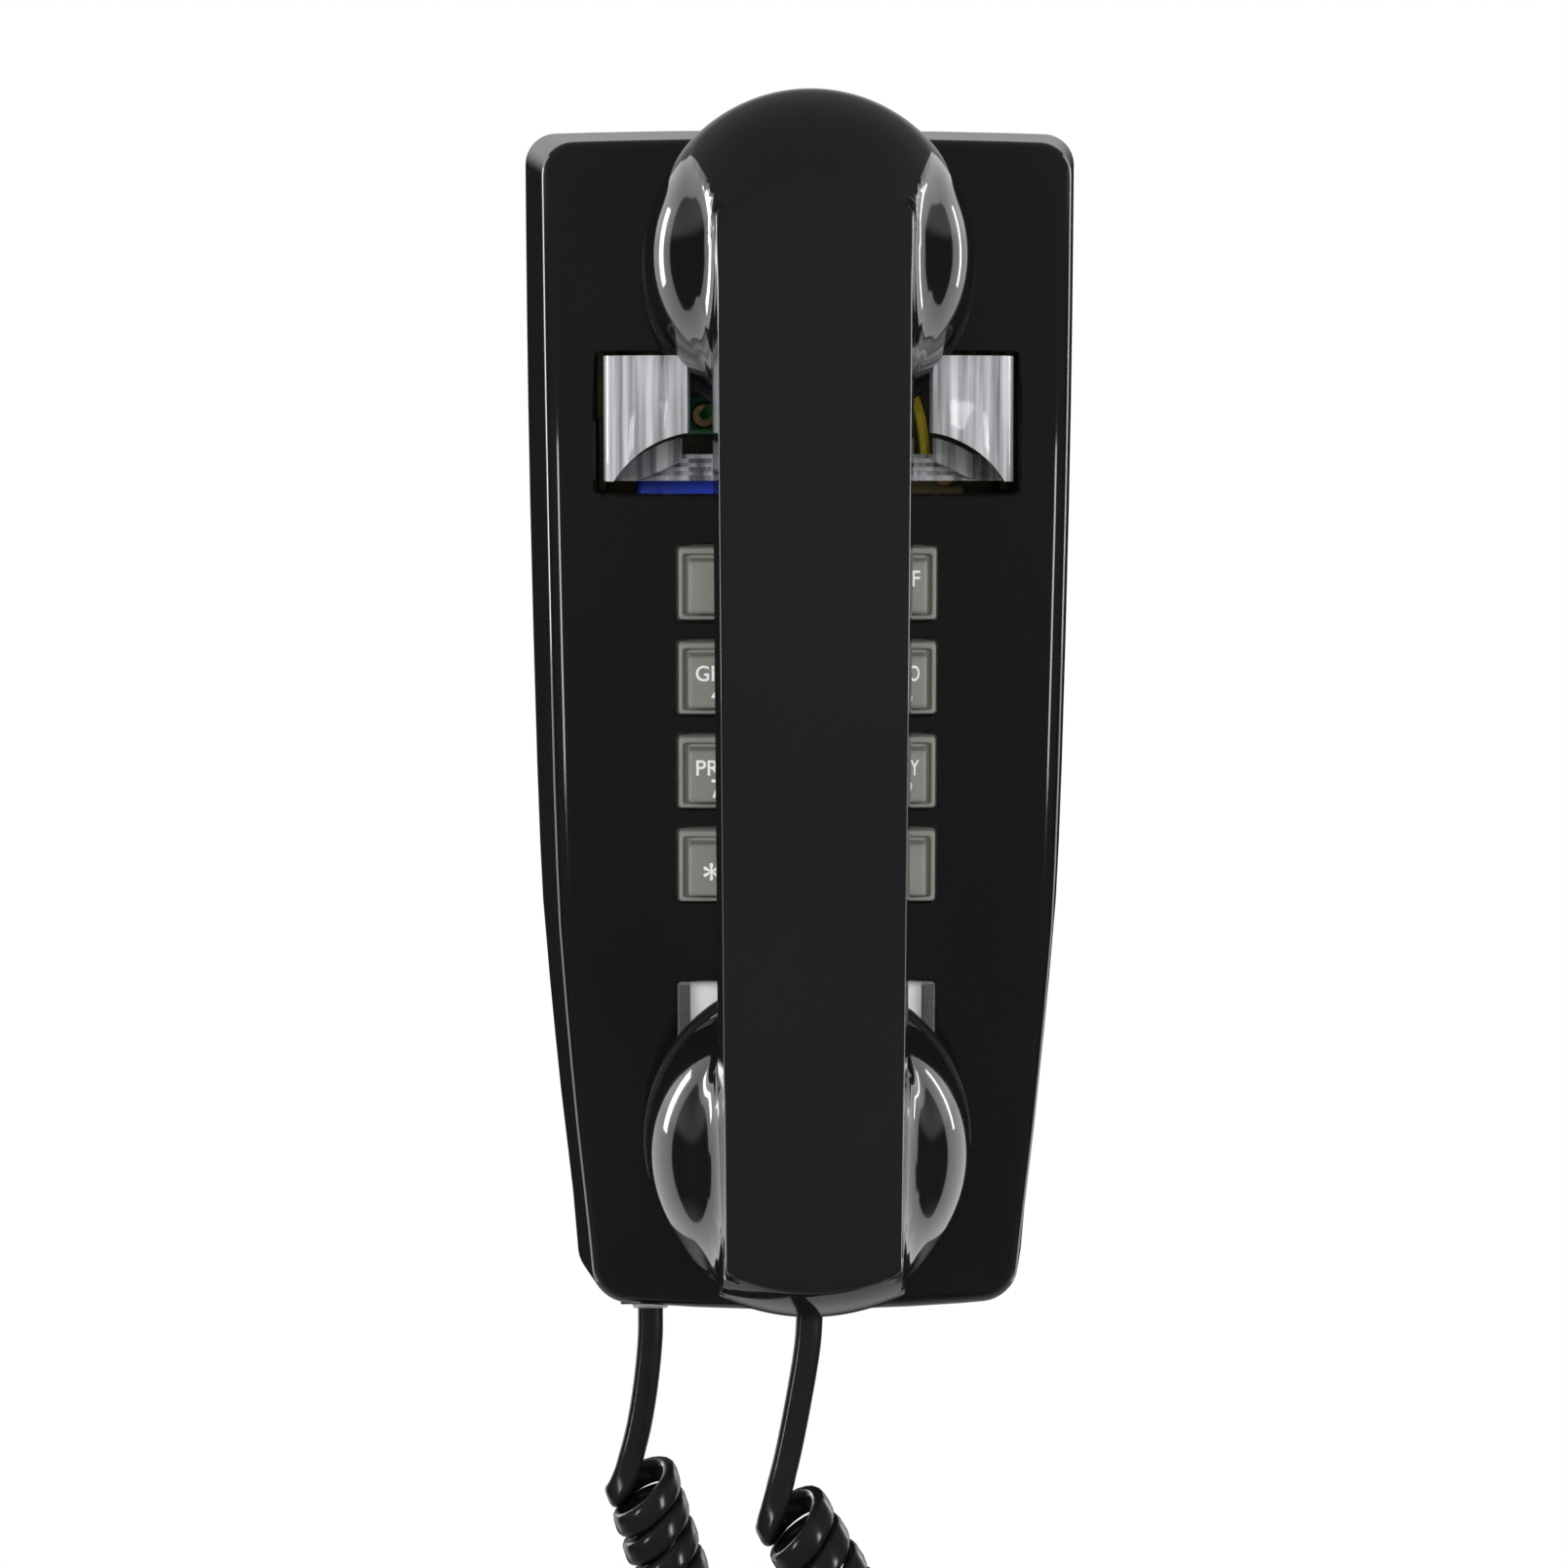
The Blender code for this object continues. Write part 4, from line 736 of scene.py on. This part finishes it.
def text_mesh(name, words, height, width, place):
    """Raised lettering facing -Y, centred on its place, of a given height and greatest width."""
    curve = bpy.data.curves.new(name, "FONT")
    curve.body = words
    curve.align_x = "CENTER"
    curve.size = 1.0
    curve.extrude = 0.02
    curve.resolution_u = 6
    curve.offset = 0.012
    source = bpy.data.objects.new(name, curve)
    bpy.context.scene.collection.objects.link(source)
    bpy.context.view_layer.update()
    graph = bpy.context.evaluated_depsgraph_get()
    mesh = bpy.data.meshes.new_from_object(source.evaluated_get(graph))
    bpy.data.objects.remove(source, do_unlink=True)
    co = np.array([v.co for v in mesh.vertices])
    low, high = co.min(0), co.max(0)
    tall = height * MM / (high[1] - low[1])
    wide = min(tall, width * MM / (high[0] - low[0]))
    centre = Matrix.Translation((-(low[0] + high[0]) / 2, -(low[1] + high[1]) / 2, 0.0))
    turn = Matrix.Rotation(math.pi / 2, 4, "X")
    mesh.transform(place @ turn @ Matrix.Diagonal((wide, tall, 0.003, 1.0)) @ centre)
    mesh.materials.clear()
    return add_object(name, mesh, LEGEND)


def legend_marks(digit, letters, top):
    """A key's letters, if it has any, and its digit or sign, on the key's top."""
    marks = []
    if letters:
        marks.append(text_mesh("letters", letters, LETTERS_HEIGHT, LETTERS_WIDTH,
                               top @ Matrix.Translation(metres((0, 0, LETTERS_Z)))))
    usual = DIGIT_UNDER_LETTERS if letters else DIGIT_PLACE
    height, x, z = SIGN_PLACES.get(digit, usual)
    width = STAR_WIDTH if digit == "*" else DIGIT_WIDTH
    marks.append(text_mesh("digit", digit, height, width,
                           top @ Matrix.Translation(metres((x, 0, z)))))
    return marks


def make_keys():
    for name, digit, letters, x, z in key_places():
        place = KEYPAD_PLANE @ Matrix.Translation(metres((x, 0, z)))
        key = stack(f"button_{name}", KEY_PROFILE, KEY_GREY, place)
        bevel(key, 0.12, 2, 50.0)
        body = f"key_{name}_cap"
        dress(key, body, f"key_{name}")
        top = place @ Matrix.Translation(metres((0.0, LEGEND_DEPTH, 0.0)))
        dress(join(f"legend_{name}", legend_marks(digit, letters, top)), body)


# -------- card and cradle --------

def make_card():
    pane = stack("card_pane", (
        (27.2, 10.8, 0.8, 4.0, 0.0), (27.2, 10.8, 0.8, 2.9, 0.0), (24.6, 8.2, 0.5, 2.9, 0.0),
        (24.6, 8.2, 0.5, 0.1, 0.0), (24.5, 8.15, 0.5, -0.1, 0.0), (22.5, 7.9, 0.4, -0.85, 0.0),
        (22.3, 7.8, 0.4, -0.9, 0.0),
    ), PANE, CARD_PLANE)
    dress(pane, "base", "card_window")
    card = stack("card", (
        (22.3, 8.5, 0.5, 4.9, 0.0), (22.3, 8.5, 0.5, 4.45, 0.0),
    ), PAPER, CARD_PLANE)
    dress(card, "base", "number_card")


def plan_strip(name, points, thickness, bottoms, tops):
    """An upright strip of even thickness along a path seen from above."""
    rings = []
    for index, point in enumerate(points):
        before = Vector(points[max(index - 1, 0)])
        after = Vector(points[min(index + 1, len(points) - 1)])
        across = (after - before).normalized().orthogonal() * thickness / 2
        left, right = Vector(point) + across, Vector(point) - across
        bottom, top = bottoms[index], tops[index]
        rings.append([(p.x, p.y, z) for p, z in ((left, bottom), (right, bottom),
                                                 (right, top), (left, top))])
    return add_object(name, loft_mesh(name, rings), CLEAR)


def prong_path(side):
    """From the cross bar forwards, round the bend and in towards the cup, seen from above."""
    (bend_x, bend_y), radius = PRONG_BEND, PRONG_BEND_RADIUS
    points = [(-36.6, -53.0), (-36.8, -57.0), (-36.9, -60.0), (-37.0, -64.0), (-37.05, -68.0)]
    points += [(bend_x - radius * math.cos(a), bend_y - radius * math.sin(a))
               for a in (math.radians(d) for d in range(0, 71, 5))]
    points += [(-27.0, -82.0), (-25.5, -82.7), (-24.0, -83.25), (-22.4, -83.6)]
    return [(-side * x, y) for x, y in points]


def arm_slab(name, low_x, high_x, outline):
    """A flat piece with an outline seen from the side."""
    rings = [[(x, y, z) for y, z in outline] for x in (low_x, high_x)]
    return add_object(name, loft_mesh(name, rings), CLEAR)


def outward(tilt):
    """The way that a cup with this tilt stands out from its cap."""
    return Vector((0.0, -math.cos(tilt), math.sin(tilt)))


def rim_centre(face, tilt):
    """The middle of a cup's rim, which sits on its cap."""
    return Vector((0.0, *face)) + outward(tilt) * (CAP_THICKNESS + CAP_GAP)


def make_cradle():
    cradle = box("cradle_clear", (-36, -58.5, BAR_BOTTOM), (36, -52.0, BAR_TOP), CLEAR)
    pivot_y, pivot_z = HOOK_PIVOT
    for side, name in ((-1, "left"), (1, "right")):
        path = prong_path(side)
        prong = plan_strip(f"prong_{name}", path, PRONG_THICKNESS,
                           [PRONG_BOTTOM - 0.1] * len(path), [PRONG_TOP] * len(path))
        brace = plan_strip(f"brace_{name}", [(side * x, y) for x, y in BRACE_PATH],
                           BRACE_THICKNESS, BRACE_BOTTOMS, BRACE_TOPS)
        scoop = cylinder(f"scoop_{name}", (side * 19.5, -95, 39.2), (0, 1, 0), 20.0, 30.5, steps=96)
        headroom = box(f"headroom_{name}", (min(side * 45, side * 30), -64.2, PRONG_ROOT_TOP),
                       (max(side * 45, side * 30), -40, 90))
        cut(prong, [scoop, headroom])
        low, high = sorted((side * 36.4, side * 33.6))
        arm = arm_slab(f"arm_{name}", low, high, (
            (-57.5, BAR_BOTTOM + 0.4), (-50.0, BAR_BOTTOM + 0.4), (pivot_y + 4.2, pivot_z - 3.0),
            (pivot_y + 4.2, pivot_z + 4.0), (pivot_y - 4.0, pivot_z + 4.0), (-57.5, BAR_TOP + 3.0)))
        cut(cradle, [prong, arm, brace], "UNION")
    tab = box("cradle_tab", (-5, -53, BAR_BOTTOM + 0.3), (5, -31, BAR_BOTTOM + 2.4))
    cut(cradle, [tab], "UNION")
    bore = cylinder("cradle_bore", (-45, *HOOK_PIVOT), (1, 0, 0), 2.1, 90, steps=32)
    rest = cylinder("cup_rest", rim_centre(EAR_FACE, EAR_TILT), outward(EAR_TILT), CUP_RADIUS, 20,
                    steps=128)
    grooves = [box(f"groove_{i}", (-30.0, -58.8, z), (30.0, y, z + GROOVE_HEIGHT))
               for i, (z, y) in enumerate(BAR_GROOVES)]
    cut(cradle, [bore, rest] + grooves)
    bevel(cradle, 0.4, 2, 40.0)
    dress(cradle, "cradle", "hook_cradle")


def make_hook_spring():
    """A wire coil round the cradle's pin."""
    turns, per_turn, sides = 5, 36, 10
    coil_radius, wire = 3.2, 0.6
    start, width = 14, 19
    line = []
    for step in range(turns * per_turn + 1):
        turn = 2 * math.pi * step / per_turn
        line.append(Vector((start + width * step / (turns * per_turn),
                            HOOK_PIVOT[0] + coil_radius * math.cos(turn),
                            HOOK_PIVOT[1] + coil_radius * math.sin(turn))))
    normals = transported(line, Vector((1.0, 0.0, 0.0)))
    rings = []
    for point, t, normal in zip(line, tangents(line), normals):
        across = t.cross(normal)
        rings.append([point + (normal * math.cos(a) + across * math.sin(a)) * wire
                      for a in (2 * math.pi * i / sides for i in range(sides))])
    spring = add_object("cradle_spring", loft_mesh("cradle_spring", rings), SPRING_STEEL, 60.0)
    dress(spring, "base", "hook_spring")


# -------- handset --------

def cup_field(p, face, tilt):
    """Roughly the distance to one cup, for an array of points in millimetres."""
    axis = np.array(outward(tilt))
    offset = p - (np.array(rim_centre(face, tilt)) + axis * CUP_RISE)
    along = offset @ axis
    across = np.sqrt(np.maximum((offset ** 2).sum(-1) - along ** 2, 0.0))
    depth = np.where(along > 0, CUP_DEPTH, CUP_DEPTH * CUP_REAR_STRETCH)
    return (np.hypot(across / CUP_RADIUS, along / depth) - 1.0) * CUP_RADIUS


def panel_y(z):
    """The depth of the handle's outer face, which is bowed a little."""
    return PANEL_Y + PANEL_BOW * (z - PANEL_MID_Z) ** 2


def handle_field(p):
    """Roughly the distance to the handle: a tapered bar that two round ends cut off."""
    x, y, z = p[..., 0], p[..., 1], p[..., 2]
    share = np.clip((z + HANDLE_TAPER_FROM) / HANDLE_TAPER_HEIGHT, 0.0, 1.0)
    half = HANDLE_HALF_BOTTOM + (HANDLE_HALF_TOP - HANDLE_HALF_BOTTOM) * share
    depth = y - panel_y(z)
    across = np.abs(x) - HANDLE_FLARE * np.minimum(depth, FLARE_DEPTH) - half + HANDLE_CORNER
    inward = depth - HANDLE_THICKNESS + HANDLE_CORNER
    bar = (np.hypot(np.maximum(across, 0.0), np.maximum(inward, 0.0))
           + np.minimum(np.maximum(across, inward), 0.0) - HANDLE_CORNER)
    (top_y, top_z), top_radius = TOP_END
    (bottom_y, bottom_z), bottom_radius = BOTTOM_END
    above, below = z - np.minimum(z, top_z), z - np.maximum(z, bottom_z)
    top = np.sqrt(x ** 2 + (y - top_y) ** 2 + above ** 2) - top_radius
    bottom = np.sqrt(x ** 2 + (y - bottom_y) ** 2 + below ** 2) - bottom_radius
    return np.maximum(bar, np.maximum(top, bottom))


def smooth_min(a, b, reach):
    """The smaller of two distances, with a fillet where they are nearly equal."""
    share = np.maximum(reach - np.abs(a - b), 0.0) / reach
    return np.minimum(a, b) - share * share * reach / 4


def body_field(p):
    """The handle run into both cups."""
    ear = cup_field(p, EAR_FACE, EAR_TILT)
    mouth = cup_field(p, MOUTH_FACE, MOUTH_TILT)
    return smooth_min(handle_field(p), np.minimum(ear, mouth), BLEND_REACH)


def handset_field(p):
    """The whole handset: its body, cut by the flat outer panel with a slightly rounded edge."""
    return -smooth_min(-body_field(p), p[..., 1] - panel_y(p[..., 2]), PANEL_EDGE)


def crossings(field, start, rays, reach):
    """How far along each ray from its start the surface is."""
    halvings = 26
    low, high = np.zeros(len(rays)), np.full(len(rays), float(reach))
    for _ in range(halvings):
        middle = (low + high) / 2
        inside = field(start + rays * middle[:, None]) < 0
        low, high = np.where(inside, middle, low), np.where(inside, high, middle)
    return low


def handset_planes(ear_steps, handle_steps, mouth_steps):
    """Where the outlines lie, as (a point, the outward way): they turn round the ear cup, go down
    the handle and turn round the mouth cup."""
    ear_rim, mouth_rim = rim_centre(EAR_FACE, EAR_TILT), rim_centre(MOUTH_FACE, MOUTH_TILT)
    ear_up = Vector((0.0, math.sin(EAR_TILT), math.cos(EAR_TILT)))
    mouth_down = Vector((0.0, -math.sin(MOUTH_TILT), -math.cos(MOUTH_TILT)))
    ear_pivot = ear_rim - ear_up * SECTION_PIVOT
    mouth_pivot = mouth_rim - mouth_down * SECTION_PIVOT
    planes = []
    for i in range(ear_steps):
        turn = (math.pi / 2 + EAR_TILT) * i / ear_steps
        planes.append((ear_pivot, Matrix.Rotation(turn, 3, "X") @ ear_up))
    for i in range(handle_steps + 1):
        planes.append((ear_pivot.lerp(mouth_pivot, i / handle_steps), Vector((0.0, -1.0, 0.0))))
    for i in range(mouth_steps - 1, -1, -1):
        turn = (math.pi / 2 - MOUTH_TILT) * i / mouth_steps
        planes.append((mouth_pivot, Matrix.Rotation(-turn, 3, "X") @ mouth_down))
    return planes


def handset_section(pivot, direction, sides):
    """One outline, with its rays crowded towards the panel's two edges."""
    pivot, direction = np.array(pivot), np.array(direction)
    probes = np.arange(4.0, 66.0, 2.0)
    inside = probes[int(np.argmin(handset_field(pivot + direction * probes[:, None])))]
    at = pivot + direction * inside
    near, far = crossings(handset_field, at, np.array([-direction, direction]), SECTION_REACH)
    centre = at + direction * (far - near) / 2
    across = np.array((1.0, 0.0, 0.0))
    top = (far + near) / 2
    flat = crossings(body_field, centre + direction * (top - 0.6), np.array([across]), 40.0)[0]
    edge = math.atan2(top, max(min(flat, 24.0), 6.0))
    turns = np.arange(sides) / sides
    rear = 0.35
    spread = np.interp(turns, (0.0, 0.25, 0.5, 0.75, 1.0),
                       (edge, math.pi - edge, math.pi + rear, 2 * math.pi - rear,
                        2 * math.pi + edge))
    crowding = np.sin(2 * math.pi * turns * 4) * 0.028
    angles = spread - np.where(turns < 0.5, crowding, 0.0)
    rays = np.cos(angles)[:, None] * across + np.sin(angles)[:, None] * direction
    return centre + rays * crossings(handset_field, centre, rays, SECTION_REACH)[:, None]


def make_handset():
    sides, steps = ((200, (110, 90, 110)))
    rings = [handset_section(*plane, sides) for plane in handset_planes(*steps)]
    shell = add_object("handset_body", loft_mesh("handset_body", rings), HANDSET_BLACK, 30.0)
    ear_rim, mouth_rim = rim_centre(EAR_FACE, EAR_TILT), rim_centre(MOUTH_FACE, MOUTH_TILT)
    ear_out, mouth_out = outward(EAR_TILT), outward(MOUTH_TILT)
    cut(shell, [
        cylinder("ear_pocket", ear_rim - ear_out * 3, ear_out, POCKET_RADIUS, 25, steps=96),
        cylinder("mouth_pocket", mouth_rim - mouth_out * 3, mouth_out, POCKET_RADIUS, 21, steps=96),
        box("jack_socket", (-6.2, HANDSET_JACK_Y - 5.4, -112), (6.2, HANDSET_JACK_Y + 5.4, -87.5)),
    ])
    sharpen(shell, 30)
    dress(shell, "handset", "handset_shell")
    ring = [(HOLE_RING, math.pi * k / 3 + HOLE_TURN) for k in range(6)]
    make_cap("ear_cup_cap", "ear_cap", EAR_FACE, EAR_TILT, [(0.0, 0.0)] + ring)
    make_cap("mouth_cup_cap", "mouth_cap", MOUTH_FACE, MOUTH_TILT, ring)


def make_cap(name, node, face, tilt, holes):
    """A cup's cap, with holes at the given (distance from the middle, angle)."""
    centre = Vector((0.0, *face))
    inner = CAP_RADIUS - 2.6
    profile = [(0, 1.6), (8, 1.45), (16, 1.0), (22, 0.55), (26, 0.2), (28.0, 0.25), (29.2, 0.7),
               (30.0, 1.4), (CAP_RADIUS, 2.4), (CAP_RADIUS, 5.9), (CAP_RADIUS - 0.25, 6.5),
               (CAP_RADIUS - 0.8, CAP_THICKNESS), (inner, CAP_THICKNESS), (inner, 3.4), (0, 3.6)]
    cap = lathe(name, profile, centre, outward(tilt), CAP_BLACK, steps=128)
    up = Vector((0, math.sin(tilt), math.cos(tilt)))
    drills = []
    for index, (radius, turn) in enumerate(holes):
        along = Vector((math.cos(turn), 0, 0)) + up * math.sin(turn)
        start = centre + along * radius - outward(tilt) * 3
        drills.append(cylinder(f"{name}_drill_{index}", start, outward(tilt), HOLE_RADIUS, 9,
                               steps=22))
    cut(cap, drills)
    sharpen(cap, 40)
    dress(cap, "handset", node)


# -------- carried-over parts --------

CARRIED = (
    (CHROMATE, "base_plate hook_bracket"),
    (STEEL, "ringer_frame transmitter_unit"),
    (SPRING_STEEL, "hook_pin housing_screw gong_screw_left gong_screw_right keypad_screw_left"
                   " keypad_screw_right clapper"),
    (BRASS, "gong_left gong_right terminal_screw_left"),
    (COPPER, "ringer_coil terminal_screw_right"),
    (DARK, "cord_jack handset_jack hook_switch keypad_frame line_jack transmitter_cup volume_wheel"
           " receiver_unit"),
    (BOARD, "main_board keypad_board terminal_strip"),
    (MAT_GREY, "keypad_mat switch_plunger"),
    (BLUE, "speech_network"),
    (OLIVE, "terminal_plate"),
    (YELLOW, "wire_yellow"),
    (GREEN, "wire_green"),
    (RED, "handset_wires"),
    (PLUG, "cord_plug_base cord_plug_handset"),
)


def dress_carried():
    """Gives the CAD's own pieces their materials."""
    for mat, names in CARRIED:
        for name in names.split():
            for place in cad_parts[name].material_slots:
                place.material = mat


# -------- stage --------

def area_light(name, at, target, size, radiance, seen_in_gloss=True):
    """A rectangular lamp; its power follows from the radiance wanted and its area."""
    data = bpy.data.lights.new(name, "AREA")
    data.shape = "RECTANGLE"
    data.size, data.size_y = size
    data.energy = radiance * math.pi * size[0] * size[1]
    light = bpy.data.objects.new(name, data)
    light.location = at
    direction = Vector(target) - Vector(at)
    light.rotation_euler = direction.to_track_quat("-Z", "Y").to_euler()
    light.visible_glossy = seen_in_gloss
    bpy.context.scene.collection.objects.link(light)


def make_world():
    """White to the lens. The object sees a grey room in front and above, and behind it a wall:
    a grey glow low down, then dark, then pale."""
    world = bpy.data.worlds.new("studio")
    bpy.context.scene.world = world
    world.use_nodes = True
    nodes, links = world.node_tree.nodes, world.node_tree.links
    nodes.clear()
    place = nodes.new("ShaderNodeTexCoord")
    split = nodes.new("ShaderNodeSeparateXYZ")
    links.new(place.outputs["Generated"], split.inputs["Vector"])

    def ramp(source, start, end, low, high):
        """A value that goes smoothly from low to high as the source goes from start to end."""
        node = nodes.new("ShaderNodeMapRange")
        node.interpolation_type = "SMOOTHSTEP"
        set_sockets(node, From_Min=start, From_Max=end, To_Min=low, To_Max=high)
        links.new(source, node.inputs["Value"])
        return node.outputs["Result"]

    def background(strength, colour):
        node = set_sockets(nodes.new("ShaderNodeBackground"), Color=(*colour, 1.0))
        if strength is not None:
            links.new(strength, node.inputs["Strength"])
        return node.outputs["Background"]

    def blend(share, first, second):
        node = nodes.new("ShaderNodeMixShader")
        links.new(share, node.inputs["Fac"])
        links.new(first, node.inputs[1])
        links.new(second, node.inputs[2])
        return node.outputs["Shader"]

    height = split.outputs["Z"]
    room = background(ramp(height, -0.5, 0.2, 0.09, 0.15), (0.95, 0.97, 1.0))
    pale_wall = background(ramp(height, 0.05, 0.13, 0.012, 0.40), (1.0, 1.0, 1.0))
    low_glow = background(None, (0.42, 0.42, 0.43))
    rear = blend(ramp(height, 0.16, 0.4, 0.0, 1.0), pale_wall, room)
    rear = blend(ramp(height, -0.55, -0.30, 1.0, 0.0), rear, low_glow)
    object_sees = blend(ramp(split.outputs["Y"], -0.2, 0.5, 0.0, 1.0), room, rear)
    lens_sees = background(None, (1.0, 1.0, 1.0))
    output = nodes.new("ShaderNodeOutputWorld")
    path = nodes.new("ShaderNodeLightPath")
    seen = blend(path.outputs["Is Camera Ray"], object_sees, lens_sees)
    links.new(seen, output.inputs["Surface"])


def make_lights():
    """On each side, a wide panel and a narrow strip behind the object that draw its bright edges, a
    small light in front for the cord's glints, and a fill that only lights; one more fill ahead."""
    origin = (0.0, 0.0, 0.0)
    for side, name, strip_width in ((-1, "left", 0.10), (1, "right", 0.035)):
        area_light(f"{name}_panel", (side * 0.6, 0.88, -0.02), (0.0, 0.88, -0.02),
                   (1.08, 1.2), 1.05)
        area_light(f"{name}_strip", (side * 0.8, 0.75, 0.14), (0.0, -0.08, 0.04),
                   (strip_width, 0.42), 9.0)
        area_light(f"{name}_glint", (side * 0.85, -0.85, -0.10), (0.0, -0.05, -0.15),
                   (0.20, 0.28), 11.0)
        area_light(f"{name}_fill", (side * 1.3, -1.5, 0.35), origin, (0.6, 0.6), 20.0,
                   seen_in_gloss=False)
    area_light("front_fill", (0.0, -2.4, 0.55), origin, (0.8, 0.8), 11.0, seen_in_gloss=False)


def make_floor():
    """A round pale floor under the cord, which nothing mirrors."""
    bm = bmesh.new()
    bmesh.ops.create_circle(bm, cap_ends=True, segments=96, radius=FLOOR_RADIUS)
    floor = add_object("floor", mesh_of(bm, "floor"), FLOOR)
    floor.location = (0.0, 0.0, FLOOR_Z)
    floor.visible_glossy = False


def make_stage():
    bpy.context.scene.view_settings.view_transform = "Standard"
    make_world()
    make_lights()
    make_floor()


def main():
    make_camera()
    make_cord()
    make_housing()
    make_keys()
    make_card()
    make_cradle()
    make_hook_spring()
    make_handset()
    dress_carried()
    make_stage()


main()
bpy.context.view_layer.update()
